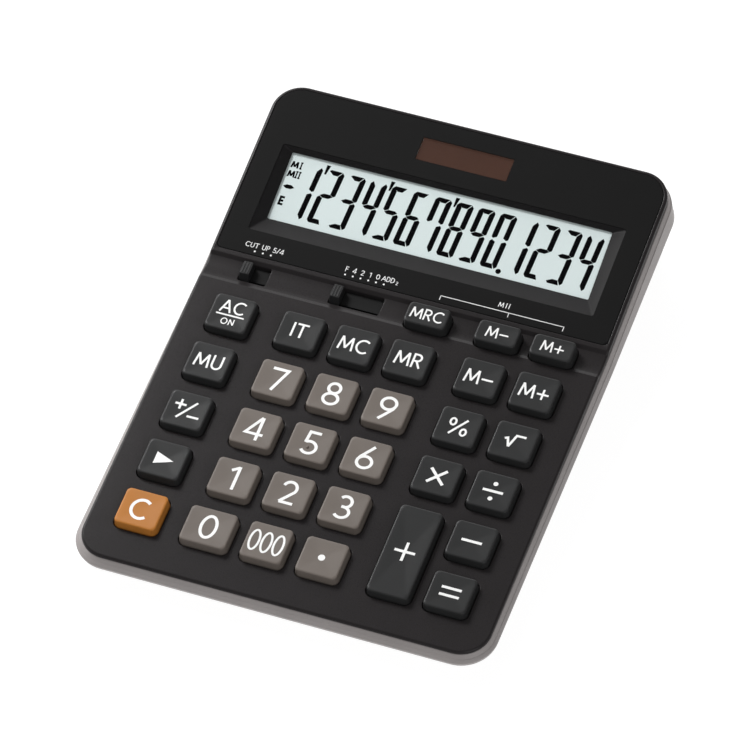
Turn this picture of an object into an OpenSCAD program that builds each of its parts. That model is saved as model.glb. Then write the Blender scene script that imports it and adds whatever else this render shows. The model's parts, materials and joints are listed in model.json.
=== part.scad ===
// Desk calculator with a sloping keyboard, a raised display and two slide switches.
// X runs to the right, Y towards the display, Z up. Origin under the middle of the case.

/* [Case] */
// Width at the widest line of the case, mm
case_w = 154.5; // [150:0.5:160]
// Depth at the widest line of the case, mm
case_d = 209.5; // [207:0.5:214]
// Height of the rear edge above the table, mm
case_h = 34.4; // [34:0.1:35]
// Corner radius of the widest line, mm
corner_r = 13; // [11:0.5:16]
// Wall thickness of both case halves, mm
wall = 1.8; // [1.6:0.1:2]
// Height of the underside above the table, mm
ground_gap = 0.8; // [0.6:0.1:1.2]
// Slope of the keyboard deck, degrees
deck_tilt = 4.84; // [4.5:0.01:5.2]
// Height of the keyboard deck at the origin, mm
deck_rise = 19.2; // [19:0.1:20]
// Slope of the display panel, degrees
panel_tilt = 9.8; // [9.4:0.1:10.2]

/* [Keys] */
// Width of a key top, mm
key_w = 15.2; // [14.5:0.1:15.4]
// Depth of a key top, mm
key_d = 14.6; // [14:0.1:15]
// Height of a key top above the deck, mm
key_h = 2.87; // [2.4:0.01:3.2]
// How far a key goes down, mm
key_travel = 1.3; // [1:0.1:1.4]
// Gap between a key and its opening, mm
key_gap = 0.35; // [0.3:0.05:0.45]
// Depth of the tall plus key, mm
tall_key_d = 36.6; // [36:0.1:37]
// Width of the zero key, mm
zero_key_w = 17; // [16.4:0.1:17.2]
// Depth of the three keys in the hollow, mm
cove_key_d = 8.8; // [8.4:0.1:9]
// Distance between key rows, mm
row_pitch = 21.5; // [21.2:0.1:21.8]

/* [Switches] */
// Spacing of the rounding switch positions, mm
rounding_step = 3.05; // [2.9:0.05:3.1]
// Spacing of the decimal switch positions, mm
decimal_step = 2.93; // [2.85:0.01:3]
// Width of a switch knob, mm
knob_w = 3.8; // [3.7:0.1:4.4]

/* [Display] */
// Visible width of the display, mm
lcd_view_w = 121.4; // [118:0.1:122]
// How far the visible area sits to the right of the middle, mm
lcd_view_x = -0.5; // [-0.6:0.1:0.6]
// Visible depth of the display, mm
lcd_view_d = 27.5; // [26.5:0.1:28]
// Slope of the display glass, degrees
lcd_tilt = 14.2; // [13.8:0.1:14.6]
// Thickness of the display panel plate, mm
panel_t = 1; // [0.8:0.1:1.1]

/* [Which piece] */
// Name of the piece to show, or all

/* [Hidden] */

$fn = 48;

black_plastic = "#2b2929";
taupe_plastic = "#7f7777";
number_taupe = "#7d7570";
copper_key = "#c07b45";
dark_key = "#3b3c3c";
metal = "#b9bcc0";

// ---- heights of the case lines, as functions of y ----
seam_inset = 2.2;
edge_round = 0.95;
panel_rear_y = case_d / 2 - seam_inset - edge_round;
// Hollow between deck and panel: a bevelled rim, a shallow scoop, a sloping wall and a lip.
cove_front_y = 18.3;
rim_y = 19.8;
rim_drop = 0.58;
foot_y = 28.5;
foot_drop = 0.75;
lip_y = 29.6;
cove_dip = 0.4;
cove_drop = 0.75;
cove_steps = 7;
bend_y = 27;
widest_rise = 14.1;
ridge_rise = 16.5;
seam_rise = 18.35;
deck_slope = tan(deck_tilt);
panel_slope = tan(panel_tilt);

function deck_z(y) = deck_rise + deck_slope * y;
function panel_z(y) = case_h - panel_slope * (panel_rear_y - y);
function bent_line(y, rise, front, rear) = rise + (y < bend_y ? front : rear) * (y - bend_y);
function widest_z(y) = bent_line(y, widest_rise, 0.0549, 0.104);
function ridge_z(y) = bent_line(y, ridge_rise, 0.065, 0.1715);
function seam_z(y) = bent_line(y, seam_rise, 0.069, 0.172);

// The scoop is an arc from the rear of the rim to the foot of the wall.
rim_z = deck_z(rim_y) - rim_drop;
foot_z = deck_z(foot_y) - foot_drop;
cove_run = foot_y - rim_y;
cove_chord = norm([cove_run, foot_z - rim_z]);
cove_r = cove_chord * cove_chord / (8 * cove_dip) + cove_dip / 2;
cove_lean = atan2(foot_z - rim_z, cove_run);
cove_reach = cove_r - cove_dip;
cove_y0 = (rim_y + foot_y) / 2 - cove_reach * sin(cove_lean);
cove_z0 = (rim_z + foot_z) / 2 + cove_reach * cos(cove_lean);
function between(y, from, to) = from[1] + (to[1] - from[1]) * (y - from[0]) / (to[0] - from[0]);
function cove_z(y) =
  y < rim_y ? between(y, [cove_front_y, deck_z(cove_front_y)], [rim_y, rim_z]) :
  y > foot_y ? between(y, [foot_y, foot_z], [lip_y, panel_z(lip_y)]) :
  cove_z0 - sqrt(cove_r * cove_r - (y - cove_y0) * (y - cove_y0));
function top_z(y) =
  y <= cove_front_y ? deck_z(y) :
  y >= lip_y ? panel_z(y) : cove_z(y);
// Inner side of the top wall
function ceiling_z(y) =
  y <= cove_front_y ? deck_z(y) - wall :
  y >= lip_y ? panel_z(y) - wall : deck_z(y) - wall - cove_drop;

// ---- outlines ----
corner_steps = 7;
middle_y = concat(
  [-60, 0, cove_front_y], [for (i = [0 : cove_steps]) rim_y + cove_run * i / cove_steps], [lip_y, 60]
);

function right_half(inset) = concat(
  [for (i = [0 : corner_steps]) let (a = -90 + 90 * i / corner_steps)
    [case_w / 2 - corner_r + (corner_r - inset) * cos(a),
     -case_d / 2 + corner_r + (corner_r - inset) * sin(a)]],
  [for (y = middle_y) [case_w / 2 - inset, y]],
  [for (i = [0 : corner_steps]) let (a = 90 * i / corner_steps)
    [case_w / 2 - corner_r + (corner_r - inset) * cos(a),
     case_d / 2 - corner_r + (corner_r - inset) * sin(a)]]
);
half_n = len(right_half(0));
function mirrored(half) = [for (i = [len(half) - 1 : -1 : 0]) [-half[i].x, half[i].y]];
function outline(inset) = concat(right_half(inset), mirrored(right_half(inset)));

// A line of the case is [inset, kind, offset]: kind picks which height it follows.
function line_z(kind, y) =
  kind == "top" ? top_z(y) :
  kind == "ceiling" ? ceiling_z(y) :
  kind == "seam" ? seam_z(y) :
  kind == "ridge" ? ridge_z(y) :
  kind == "widest" ? widest_z(y) : 0;
function line_points(line) = [for (p = outline(line[0])) [p.x, p.y, line_z(line[1], p.y) + line[2]]];

module case_loft(lines) {
  ring_n = 2 * half_n;
  last = (len(lines) - 1) * ring_n;
  points = [for (line = lines) each line_points(line)];
  sides = [for (k = [0 : len(lines) - 2]) for (j = [0 : ring_n - 1])
    let (a = k * ring_n + j, b = k * ring_n + (j + 1) % ring_n)
    each [[a + ring_n, b, a], [a + ring_n, b + ring_n, b]]];
  bottom = [for (i = [0 : half_n - 2]) [i, i + 1, ring_n - 2 - i, ring_n - 1 - i]];
  cap = [for (i = [0 : half_n - 2]) [last + ring_n - 1 - i, last + ring_n - 2 - i, last + i + 1, last + i]];
  polyhedron(points = points, faces = concat(bottom, sides, cap), convexity = 6);
}

// ---- rounded blocks with flat facets ----
// Each level is [width, depth, corner radius, height] and may add a shift towards the rear.
block_steps = 4;
function block_ring(level) = [for (q = [0 : 3]) for (i = [0 : block_steps])
  let (a = 90 * q + 90 * i / block_steps,
       sx = (q == 0 || q == 3) ? 1 : -1,
       sy = q < 2 ? 1 : -1,
       shift = len(level) > 4 ? level[4] : 0)
  [sx * (level[0] / 2 - level[2]) + level[2] * cos(a),
   sy * (level[1] / 2 - level[2]) + level[2] * sin(a) + shift,
   level[3]]];

module rounded_block(levels) {
  ring_n = 4 * (block_steps + 1);
  top = (len(levels) - 1) * ring_n;
  points = [for (level = levels) each block_ring(level)];
  sides = [for (k = [0 : len(levels) - 2]) for (j = [0 : ring_n - 1])
    let (a = k * ring_n + j, b = k * ring_n + (j + 1) % ring_n)
    each [[a + ring_n, b, a], [a + ring_n, b + ring_n, b]]];
  bottom = [[for (j = [0 : ring_n - 1]) j]];
  cap = [[for (j = [ring_n - 1 : -1 : 0]) top + j]];
  polyhedron(points = points, faces = concat(bottom, sides, cap), convexity = 4);
}

// ---- local frames ----
module on_deck(x, y) {
  translate([x, y, deck_z(y)]) rotate([deck_tilt, 0, 0]) children();
}

module on_panel(x, y) {
  translate([x, y, panel_z(y)]) rotate([panel_tilt, 0, 0]) children();
}

lcd_y = 63.2;
lcd_z = 24.87;
module on_lcd() {
  translate([0, lcd_y, lcd_z]) rotate([lcd_tilt, 0, 0]) children();
}

// A flat plate centred on the local origin, from height low to height high.
module plate(w, d, low, high) {
  translate([-w / 2, -d / 2, low]) cube([w, d, high - low]);
}

// ---- keyboard layout ----
col_x = [-57, -31.1, -10.6, 9.9, 36.15, 56.65];
first_row_y = 4.1;
function row_y(row) = first_row_y - row_pitch * row;
cove_key_y = 23.2;
cove_key_h = 3.6;
tall_key_y = (row_y(3) + row_y(4)) / 2;
zero_key_x = col_x[1] - (zero_key_w - key_w) / 2;

// Every opening in the deck: [x, y, top width, top depth].
key_places = concat(
  [for (c = [0 : 5]) for (r = [0 : 2]) [col_x[c], row_y(r), key_w, key_d]],
  [for (c = [0, 1, 2, 3, 5]) [col_x[c], row_y(3), key_w, key_d]],
  [for (c = [0, 2, 3, 5]) [col_x[c], row_y(4), key_w, key_d]],
  [[zero_key_x, row_y(4), zero_key_w, key_d]],
  [[col_x[4], tall_key_y, key_w, tall_key_d]],
  [for (c = [3 : 5]) [col_x[c], cove_key_y, key_w, cove_key_d]]
);

// ---- stack below the deck, measured down along its normal ----
flange_t = 0.8;
dome_top = -3.7;
mat_top = -5.9;
mat_bottom = -6.58;
board_top = -6.6;
board_bottom = -7.8;
skirt = 0.45;
flange_lip = 1.2;
stem_w = 3.6;

// ---- keys ----
module key_block(x, y, w, d, h, flange_top) {
  base_w = w + 2 * skirt;
  base_d = d + 2 * skirt;
  on_deck(x, y) {
    rounded_block([
      [base_w, base_d, 2.6, flange_top - flange_t / 2],
      [base_w, base_d, 2.6, 0],
      [w + 0.1, d + 0.1, 1.8, h - 0.4],
      [w - 0.5, d - 0.5, 1.6, h]
    ]);
    plate(base_w + 2 * flange_lip, base_d + 2 * flange_lip, flange_top - flange_t, flange_top);
    plate(stem_w, stem_w, dome_top + 0.02, flange_top - flange_t / 2);
  }
}

deck_flange_top = -wall - 0.12;
cove_flange_top = -wall - cove_drop - 0.15;

module deck_key(x, y, w, d) {
  key_block(x, y, w, d, key_h, deck_flange_top);
}

module dark_deck_key(col, row) {
  color(dark_key) deck_key(col_x[col], row_y(row), key_w, key_d);
}

module number_key(col, row) {
  color(number_taupe) deck_key(col_x[col], row_y(row), key_w, key_d);
}

module cove_key(col) {
  color(dark_key) key_block(col_x[col], cove_key_y, key_w, cove_key_d, cove_key_h, cove_flange_top);
}

module key_second_memory_recall() { cove_key(3); }
module key_second_memory_minus() { cove_key(4); }
module key_second_memory_plus() { cove_key(5); }
module key_all_clear() { dark_deck_key(0, 0); }
module key_item_count() { dark_deck_key(1, 0); }
module key_memory_clear() { dark_deck_key(2, 0); }
module key_memory_recall() { dark_deck_key(3, 0); }
module key_memory_minus() { dark_deck_key(4, 0); }
module key_memory_plus() { dark_deck_key(5, 0); }
module key_mark_up() { dark_deck_key(0, 1); }
module key_7() { number_key(1, 1); }
module key_8() { number_key(2, 1); }
module key_9() { number_key(3, 1); }
module key_percent() { dark_deck_key(4, 1); }
module key_root() { dark_deck_key(5, 1); }
module key_sign() { dark_deck_key(0, 2); }
module key_4() { number_key(1, 2); }
module key_5() { number_key(2, 2); }
module key_6() { number_key(3, 2); }
module key_times() { dark_deck_key(4, 2); }
module key_divide() { dark_deck_key(5, 2); }
module key_shift() { dark_deck_key(0, 3); }
module key_1() { number_key(1, 3); }
module key_2() { number_key(2, 3); }
module key_3() { number_key(3, 3); }
module key_plus() { color(dark_key) deck_key(col_x[4], tall_key_y, key_w, tall_key_d); }
module key_minus() { dark_deck_key(5, 3); }
module key_clear() { color(copper_key) deck_key(col_x[0], row_y(4), key_w, key_d); }
module key_0() { color(number_taupe) deck_key(zero_key_x, row_y(4), zero_key_w, key_d); }
module key_000() { number_key(2, 4); }
module key_point() { number_key(3, 4); }
module key_equals() { dark_deck_key(5, 4); }

// ---- slide switches: a knob in a shallow well, with its leg through a slit ----
rounding_x = -59.3;
decimal_x = -25;
switch_y = 24.6;
rounding_travel = 2 * rounding_step;
decimal_travel = 5 * decimal_step;
well_d = 7.6;
well_floor = -2.3;
slit_y = -2.95;
slit_d = 1.4;
floor_t = 1.1;
floor_rim = 1.5;
knob_play = 0.3;
knob_foot_d = 7;
knob_d = 5.6;
knob_back = 0.6;
knob_edge = 0.4;
knob_top = 1.4;
rib_n = 3;
rib_w = 0.4;
rib_pitch = 0.95;
rib_h = 0.3;
leg_w = 2.5;
leg_d = 1;
carrier_d = 4.2;
carrier_bottom = -4.4;
slide_gap = 0.15;

function well_w(travel) = knob_w + travel + 2 * knob_play;

module switch_cut(x, travel) {
  w = well_w(travel);
  on_deck(x + travel / 2, switch_y) {
    rounded_block([[w, well_d, 0.5, well_floor], [w, well_d, 0.5, 4]]);
    translate([0, slit_y, 0]) plate(w - 1.2, slit_d, well_floor - 4, well_floor + 1);
  }
}

// Floor under the well, so the slit is the only way through.
module switch_floor(x, travel) {
  on_deck(x + travel / 2, switch_y)
    plate(well_w(travel) + 2 * floor_rim, well_d + 2 * floor_rim, well_floor - floor_t, -wall - 0.2);
}

// Ribbed knob, the leg through the slit, and the carrier under the floor.
module knob(x) {
  on_deck(x, switch_y) {
    rounded_block([
      [knob_w, knob_foot_d, knob_edge, well_floor + slide_gap],
      [knob_w, knob_foot_d, knob_edge, well_floor + 1],
      [knob_w, knob_d, knob_edge, knob_top - knob_edge, knob_back],
      [knob_w - 0.5, knob_d - 0.5, knob_edge, knob_top, knob_back]
    ]);
    for (i = [0 : rib_n - 1])
      translate([(i - (rib_n - 1) / 2) * rib_pitch, knob_back, 0])
        plate(rib_w, knob_d - 1, knob_top - 0.2, knob_top + rib_h);
    translate([0, slit_y, 0]) {
      plate(leg_w, leg_d, carrier_bottom, well_floor + 0.5);
      plate(knob_w, carrier_d, carrier_bottom, well_floor - floor_t - slide_gap);
    }
  }
}

// Sprung metal clip under the carrier: a cap with two arms that press on the board.
clip_t = 0.3;
arm_bottom = -6.2;
pad_bottom = -6.5;
pad_w = 1.6;
module contact_clip(x) {
  on_deck(x, switch_y + slit_y) {
    plate(knob_w, carrier_d - 0.4, carrier_bottom - clip_t, carrier_bottom - 0.02);
    for (side = [-1, 1]) {
      translate([side * (knob_w - clip_t) / 2, 0, 0])
        plate(clip_t, leg_d, arm_bottom, carrier_bottom - 0.1);
      translate([side * (knob_w - pad_w) / 2, 0, 0]) plate(pad_w, leg_d, pad_bottom, arm_bottom);
    }
  }
}

module rounding_switch_knob() { color(dark_key) knob(rounding_x); }
module decimal_switch_knob() { color(dark_key) knob(decimal_x); }
module rounding_switch_contact() { color(metal) contact_clip(rounding_x); }
module decimal_switch_contact() { color(metal) contact_clip(decimal_x); }

// ---- case halves ----
case_inset = 4.3;
seam_gap = 0.03;
// Case screws: [x, y, height of the joint between boss and post].
case_screw_places = [
  [62, -94.2, 5.7], [-62, -94.2, 5.7], [23, -50, 8], [-44.05, -50, 8],
  [63.5, 88, 15], [-63.5, 88, 15]
];
boss_r = 2.7;
post_r = 3.6;
screw_r = 1.05;
screw_head_r = 2.2;
screw_length = 6.2;
pilot_depth = 3.9;
head_seat = 2.6;
screw_fit = 0.03;
small_screw_r = 0.8;
small_head_r = 1.8;
small_screw_length = 4.8;
board_boss_r = 2.2;
board_screw_x = [-44.05, 23];
board_screw_y = [row_y(3.5), row_y(1.5), 12];

// Display opening, measured along the panel from its own middle line.
recess_w = 130;
recess_front_y = 41.4;
recess_rear_y = 77.8;
recess_y = (recess_front_y + recess_rear_y) / 2;
recess_d = (recess_rear_y - recess_front_y) / cos(panel_tilt);
bezel_lip = 1.4;
bezel_w = recess_w + 2 * bezel_lip;
bezel_d = recess_d + 2 * bezel_lip;
bezel_rear_room = 3.6;
plate_front_y = 31.5;
plate_inset = 3.75;
plate_corner_r = 1.8;
plate_block_d = 90;
solar_y = 89.4;
solar_w = 34.6;
solar_d = 9.6;

module upper_case() {
  color(black_plastic) difference() {
    union() {
      difference() {
        case_loft([
          [seam_inset + 0.05, "seam", seam_gap],
          [seam_inset + 0.15, "top", -0.9],
          [seam_inset + 0.4, "top", -0.3],
          [seam_inset + edge_round, "top", 0]
        ]);
        case_loft([
          [case_inset, "seam", -1],
          [case_inset, "ceiling", -0.6],
          [case_inset + 0.6, "ceiling", 0]
        ]);
      }
      intersection() {
        switch_floors();
        case_loft([[case_inset - 1, "seam", -8], [case_inset - 1, "top", -0.5]]);
      }
      case_bosses();
      board_bosses();
      lcd_bosses();
    }
    for (p = key_places) key_opening(p);
    switch_cut(rounding_x, rounding_travel);
    switch_cut(decimal_x, decimal_travel);
    display_cuts();
    for (p = case_screw_places)
      translate([p.x, p.y, p.z - 1]) cylinder(r = screw_r + screw_fit, h = pilot_depth + 1);
    for (x = board_screw_x) for (y = board_screw_y)
      on_deck(x, y) translate([0, 0, board_top - 1]) cylinder(r = small_screw_r + screw_fit, h = 5.2);
    for (side = [-1, 1])
      on_panel(side * lcd_screw_x, recess_y) translate([0, 0, -9])
        cylinder(r = small_screw_r + screw_fit, h = 7.2);
  }
}

module switch_floors() {
  switch_floor(rounding_x, rounding_travel);
  switch_floor(decimal_x, decimal_travel);
}

module key_opening(place) {
  w = place[2] + 2 * (skirt + key_gap);
  d = place[3] + 2 * (skirt + key_gap);
  on_deck(place.x, place.y) rounded_block([[w, d, 2.9, -6], [w, d, 2.9, 5]]);
}

module case_bosses() {
  for (p = case_screw_places)
    translate([p.x, p.y, p.z]) cylinder(r = boss_r, h = top_z(p.y) - p.z - 1);
}

module board_bosses() {
  for (x = board_screw_x) for (y = board_screw_y)
    on_deck(x, y) translate([0, 0, board_top + 0.05]) cylinder(r = board_boss_r, h = -board_top - 1);
}

lcd_screw_x = 69.4;
lcd_boss_r = 1.9;
module lcd_bosses() {
  for (side = [-1, 1])
    on_panel(side * lcd_screw_x, recess_y) translate([0, 0, -7]) cylinder(r = lcd_boss_r, h = 5.8);
}

// Block with rounded front corners, cut to the case outline at its sides and rear.
module panel_shape(margin, low, high) {
  // A hair narrower than the case outline, so that no two side faces coincide.
  w = case_w - 2 * (plate_inset + margin) - 0.1;
  intersection() {
    on_panel(0, plate_front_y + margin) translate([0, plate_block_d / 2, 0])
      rounded_block([[w, plate_block_d, plate_corner_r, low], [w, plate_block_d, plate_corner_r, high]]);
    case_loft([[plate_inset + margin, "flat", 1], [plate_inset + margin, "flat", case_h + 5]]);
  }
}

module display_cuts() {
  panel_shape(0, -panel_t - 0.05, 3);
  on_panel(0, recess_y) translate([0, bezel_rear_room / 2, 0])
    plate(bezel_w + 0.2, bezel_d + 0.2 + bezel_rear_room, -8, 3);
  on_panel(0, solar_y) plate(solar_w + 1.2, solar_d + 1.2, -5, 3);
}

// Underside lines, from the flat bottom out to the widest line.
module lower_shell() {
  case_loft([
    [7.2, "flat", ground_gap],
    [5.6, "flat", ground_gap + 1.2],
    [0, "widest", 0],
    [0.92, "ridge", 0],
    [seam_inset, "seam", 0]
  ]);
}

cover_x = 22;
cover_y = 70;
cover_w = 34;
cover_d = 22;
cover_t = 1.6;
cell_x = 16;
cell_r = 5.8;
cell_t = 5.4;
cell_z = ground_gap + cover_t + 0.35;
cell_box_h = 7.6;
contact_slot_w = 2.6;
cover_screw_x = 34.6;
cover_recess_r = 2.4;
cover_recess_h = 0.9;

module lower_case() {
  color(taupe_plastic) difference() {
    union() {
      difference() {
        lower_shell();
        case_loft([
          [9, "flat", ground_gap + wall],
          [7.4, "flat", ground_gap + wall + 1],
          [3.2, "widest", 0],
          [case_inset, "seam", -0.8],
          [case_inset, "seam", 1]
        ]);
      }
      for (p = case_screw_places)
        translate([p.x, p.y, ground_gap + 0.4]) cylinder(r = post_r, h = p.z - ground_gap - 0.45);
      translate([cell_x, cover_y, ground_gap + 0.5]) cylinder(r = cell_r + 1.6, h = cell_box_h);
      translate([cover_screw_x, cover_y, ground_gap + 0.5]) cylinder(r = 2.6, h = 7);
    }
    for (p = case_screw_places) screw_hole(p);
    translate([cover_x, cover_y, ground_gap])
      plate(cover_w + 0.4, cover_d + 0.4, -1, cover_t + 0.05);
    translate([cell_x, cover_y, 0]) cylinder(r = cell_r + 0.2, h = cell_z + cell_t + 0.25);
    translate([cell_x - contact_slot_w / 2, cover_y, cell_z + cell_t]) cube([contact_slot_w, cell_r, 4]);
    translate([cell_x - contact_slot_w / 2, cover_y + cell_r - 0.4, cell_z + 0.5])
      cube([contact_slot_w, 1, 9]);
    translate([cover_screw_x, cover_y, 0]) cylinder(r = screw_r + screw_fit, h = 7);
    for (p = foot_places) translate([p.x, p.y, ground_gap - 1]) cylinder(r = foot_r + 0.1, h = 1.5);
  }
}

module screw_hole(place) {
  seat_z = place.z - head_seat;
  translate([place.x, place.y, -1]) cylinder(r = screw_head_r + 0.3, h = seat_z + 1);
  translate([place.x, place.y, 0]) cylinder(r = screw_r + 0.35, h = place.z + 2);
}

foot_r = 4.5;
foot_places = [[61, -81], [-61, -81], [61, 72], [-61, 72]];
module rubber_feet() {
  color("#1d1d1d")
    for (p = foot_places) translate([p.x, p.y, 0]) {
      cylinder(r1 = foot_r - 0.5, r2 = foot_r, h = ground_gap);
      translate([0, 0, ground_gap]) cylinder(r = foot_r, h = 0.45);
    }
}

// Pan head, shank and a cross slot; the seat of the head is at the local origin.
module pan_screw(head_r, shank_r, length) {
  difference() {
    union() {
      translate([0, 0, -1.4]) cylinder(r1 = head_r - 0.4, r2 = head_r, h = 1.4);
      cylinder(r = shank_r, h = length);
    }
    for (turn = [0, 90]) rotate([0, 0, turn]) plate(2 * head_r * 0.65, 0.5, -2, -0.8);
  }
}

module case_screws() {
  color(metal)
    for (p = case_screw_places)
      translate([p.x, p.y, p.z - head_seat - 0.02]) pan_screw(screw_head_r, screw_r, screw_length);
}

module board_screws() {
  color(metal)
    for (x = board_screw_x) for (y = board_screw_y)
      on_deck(x, y) translate([0, 0, board_bottom - 0.02])
        pan_screw(small_head_r, small_screw_r, small_screw_length);
}

// Cover with a sunk screw hole and a row of finger grooves.
grip_n = 4;
grip_pitch = 1.6;
module battery_cover() {
  color(taupe_plastic) difference() {
    translate([cover_x, cover_y, ground_gap])
      rounded_block([[cover_w, cover_d, 1, 0], [cover_w, cover_d, 1, cover_t]]);
    translate([cover_screw_x, cover_y, 0]) cylinder(r = 1.3, h = 5);
    translate([cover_screw_x, cover_y, 0]) cylinder(r = cover_recess_r, h = ground_gap + cover_recess_h);
    for (i = [0 : grip_n - 1]) translate([cover_x - cover_w / 2 + 3 + grip_pitch * i, cover_y, ground_gap])
      plate(grip_pitch / 2, 10, -1, 0.35);
  }
}

module battery_cover_screw() {
  color(metal) translate([cover_screw_x, cover_y, ground_gap + cover_recess_h - 0.03]) difference() {
    union() {
      translate([0, 0, -0.8]) cylinder(r1 = 1.8, r2 = 2.1, h = 0.8);
      cylinder(r = screw_r, h = 4.9);
    }
    for (turn = [0, 90]) rotate([0, 0, turn]) plate(2.6, 0.5, -2, -0.4);
  }
}

module button_cell() {
  color("#c9ccd0") translate([cell_x, cover_y, cell_z]) {
    cylinder(r = cell_r, h = 4.6);
    translate([0, 0, 4.6]) cylinder(r1 = cell_r - 0.35, r2 = cell_r - 0.8, h = 0.4);
    translate([0, 0, 5]) cylinder(r = cell_r - 1.2, h = cell_t - 5);
  }
}

// One strip lies on the cover under the cell, the other presses on its top.
module battery_contacts() {
  color(metal) {
    translate([cell_x, cover_y, ground_gap + cover_t + 0.08]) plate(7, 7, 0, 0.22);
    translate([cell_x - 1, cover_y, cell_z + cell_t + 0.03]) cube([2, cell_r + 0.3, 0.2]);
    translate([cell_x - 1, cover_y + cell_r + 0.1, cell_z + cell_t + 0.03]) cube([2, 0.2, 4]);
  }
}

// ---- boards and wiring ----
wire_r = 0.45;
board_w = 132;
board_front_y = -90.8;
board_rear_y = 29.6;
board_mid_y = (board_front_y + board_rear_y) / 2;
board_d = (board_rear_y - board_front_y) / cos(deck_tilt);

module main_board() {
  color("#2f5d3a") difference() {
    on_deck(0, board_mid_y) plate(board_w, board_d, board_bottom, board_top);
    for (x = board_screw_x) for (y = board_screw_y)
      on_deck(x, y) translate([0, 0, board_bottom - 1]) cylinder(r = 1.2, h = 4);
    middle_screw_clearance();
  }
}

// Round holes that let the two middle case screws past the board and the mat.
module middle_screw_clearance() {
  for (i = [2, 3])
    translate([case_screw_places[i].x, case_screw_places[i].y, 0]) cylinder(r = post_r + 0.4, h = 20);
}

chip_x = 10;
chip_y = -8;
chip_r = 8;
chip_h = 1.5;
chip_foot = 0.5;
// Rounded blob of resin over the bare chip, under the board.
module processor_chip() {
  color("#141414") on_deck(chip_x, chip_y) {
    translate([0, 0, board_bottom - chip_h])
      cylinder(r1 = chip_r - 2.5, r2 = chip_r, h = chip_h - chip_foot);
    translate([0, 0, board_bottom - chip_foot]) cylinder(r = chip_r, h = chip_foot - 0.02);
  }
}

mat_rear_y = 20;
mat_mid_y = (board_front_y + mat_rear_y) / 2 + 0.5;
mat_d = (mat_rear_y - board_front_y - 1) / cos(deck_tilt);
// The mat has a tongue under the three keys in the hollow.
tongue_w = 56;
tongue_d = 8.2;
module key_mat() {
  color("#8d9096") {
    difference() {
      union() {
        on_deck(0, mat_mid_y) plate(board_w - 2, mat_d, mat_bottom, mat_top);
        on_deck((col_x[3] + col_x[5]) / 2, cove_key_y) plate(tongue_w, tongue_d, mat_bottom, mat_top);
      }
      for (x = board_screw_x) for (y = board_screw_y)
        on_deck(x, y) translate([0, 0, mat_bottom - 1]) cylinder(r = board_boss_r + 0.5, h = 4);
      for (p = key_places)
        on_deck(p.x, p.y) translate([0, 0, mat_bottom - 1]) cylinder(r = dome_hole_r, h = 4);
      middle_screw_clearance();
    }
    for (p = key_places) on_deck(p.x, p.y) dome();
  }
}

dome_base_r = 3.7;
dome_top_r = 2.5;
dome_wall = 0.5;
dome_hole_r = 3;
module dome() {
  difference() {
    translate([0, 0, mat_top - 0.3])
      cylinder(r1 = dome_base_r, r2 = dome_top_r, h = dome_top - mat_top + 0.3);
    translate([0, 0, mat_top - 0.4])
      cylinder(r1 = dome_base_r - dome_wall, r2 = dome_top_r - dome_wall, h = dome_top - mat_top - 0.3);
  }
}

// ---- display ----
cell_glass_w = 126;
cell_glass_d = 30.4;
driver_ledge = 2.4;
// Layers behind the bezel, measured down along the normal of the glass.
layer_gap = 0.03;
window_bottom = -0.65;
front_glass_bottom = -1.8;
rear_glass_bottom = -2.9;
frame_bottom = -4.3;
window_w = cell_glass_w + 2;
window_d = cell_glass_d + 0.6;
module display_panel() {
  color("#1f1f20") difference() {
    panel_shape(0.1, -panel_t, 0);
    on_panel(0, recess_y) plate(recess_w, recess_d, -3, 3);
    on_panel(0, solar_y) plate(solar_w, solar_d, -3, 3);
  }
}

lcd_front_y = lcd_y - lcd_view_d / 2 * cos(lcd_tilt);
lcd_rear_y = lcd_y + lcd_view_d / 2 * cos(lcd_tilt);
lcd_rise = lcd_view_d / 2 * sin(lcd_tilt);

// Four-sided funnel from the panel opening through the edge of the display.
// Its lower end goes a little past the display, by funnel_reach times its depth.
funnel_reach = 1.1;
function funnel_side(sx) =
  let (
    top_x = sx * recess_w / 2,
    seat_x = lcd_view_x + sx * lcd_view_w / 2,
    top = [
      [top_x, recess_front_y, panel_z(recess_front_y) - panel_t],
      [top_x, recess_rear_y, panel_z(recess_rear_y) - panel_t]
    ],
    seat = [[seat_x, lcd_front_y, lcd_z - lcd_rise], [seat_x, lcd_rear_y, lcd_z + lcd_rise]]
  )
  concat(top, [for (i = [0, 1]) top[i] + funnel_reach * (seat[i] - top[i])]);

// Its left and right sides twist a little, so each is two triangles.
module display_funnel() {
  polyhedron(points = concat(funnel_side(1), funnel_side(-1)), convexity = 2, faces = [
    [0, 4, 5, 1], [2, 3, 7, 6], [0, 1, 2], [1, 3, 2], [5, 4, 6], [5, 6, 7], [4, 0, 2, 6], [1, 5, 7, 3]
  ]);
}

module lcd_bezel() {
  color("#2c2a2b") difference() {
    on_panel(0, recess_y) plate(bezel_w, bezel_d, -7.6, -panel_t - 0.06);
    display_funnel();
    on_lcd() plate(200, 90, -20, 0);
  }
}

module lcd_window() {
  color("#dfe9e6", 0.35) on_lcd() plate(window_w, window_d, window_bottom, -layer_gap);
}

module lcd_cell() {
  color("#cddad7") on_lcd() {
    plate(cell_glass_w, cell_glass_d, front_glass_bottom, window_bottom - layer_gap);
    translate([0, driver_ledge / 2, 0])
      plate(cell_glass_w, cell_glass_d - driver_ledge, rear_glass_bottom, front_glass_bottom - layer_gap);
  }
}

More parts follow.
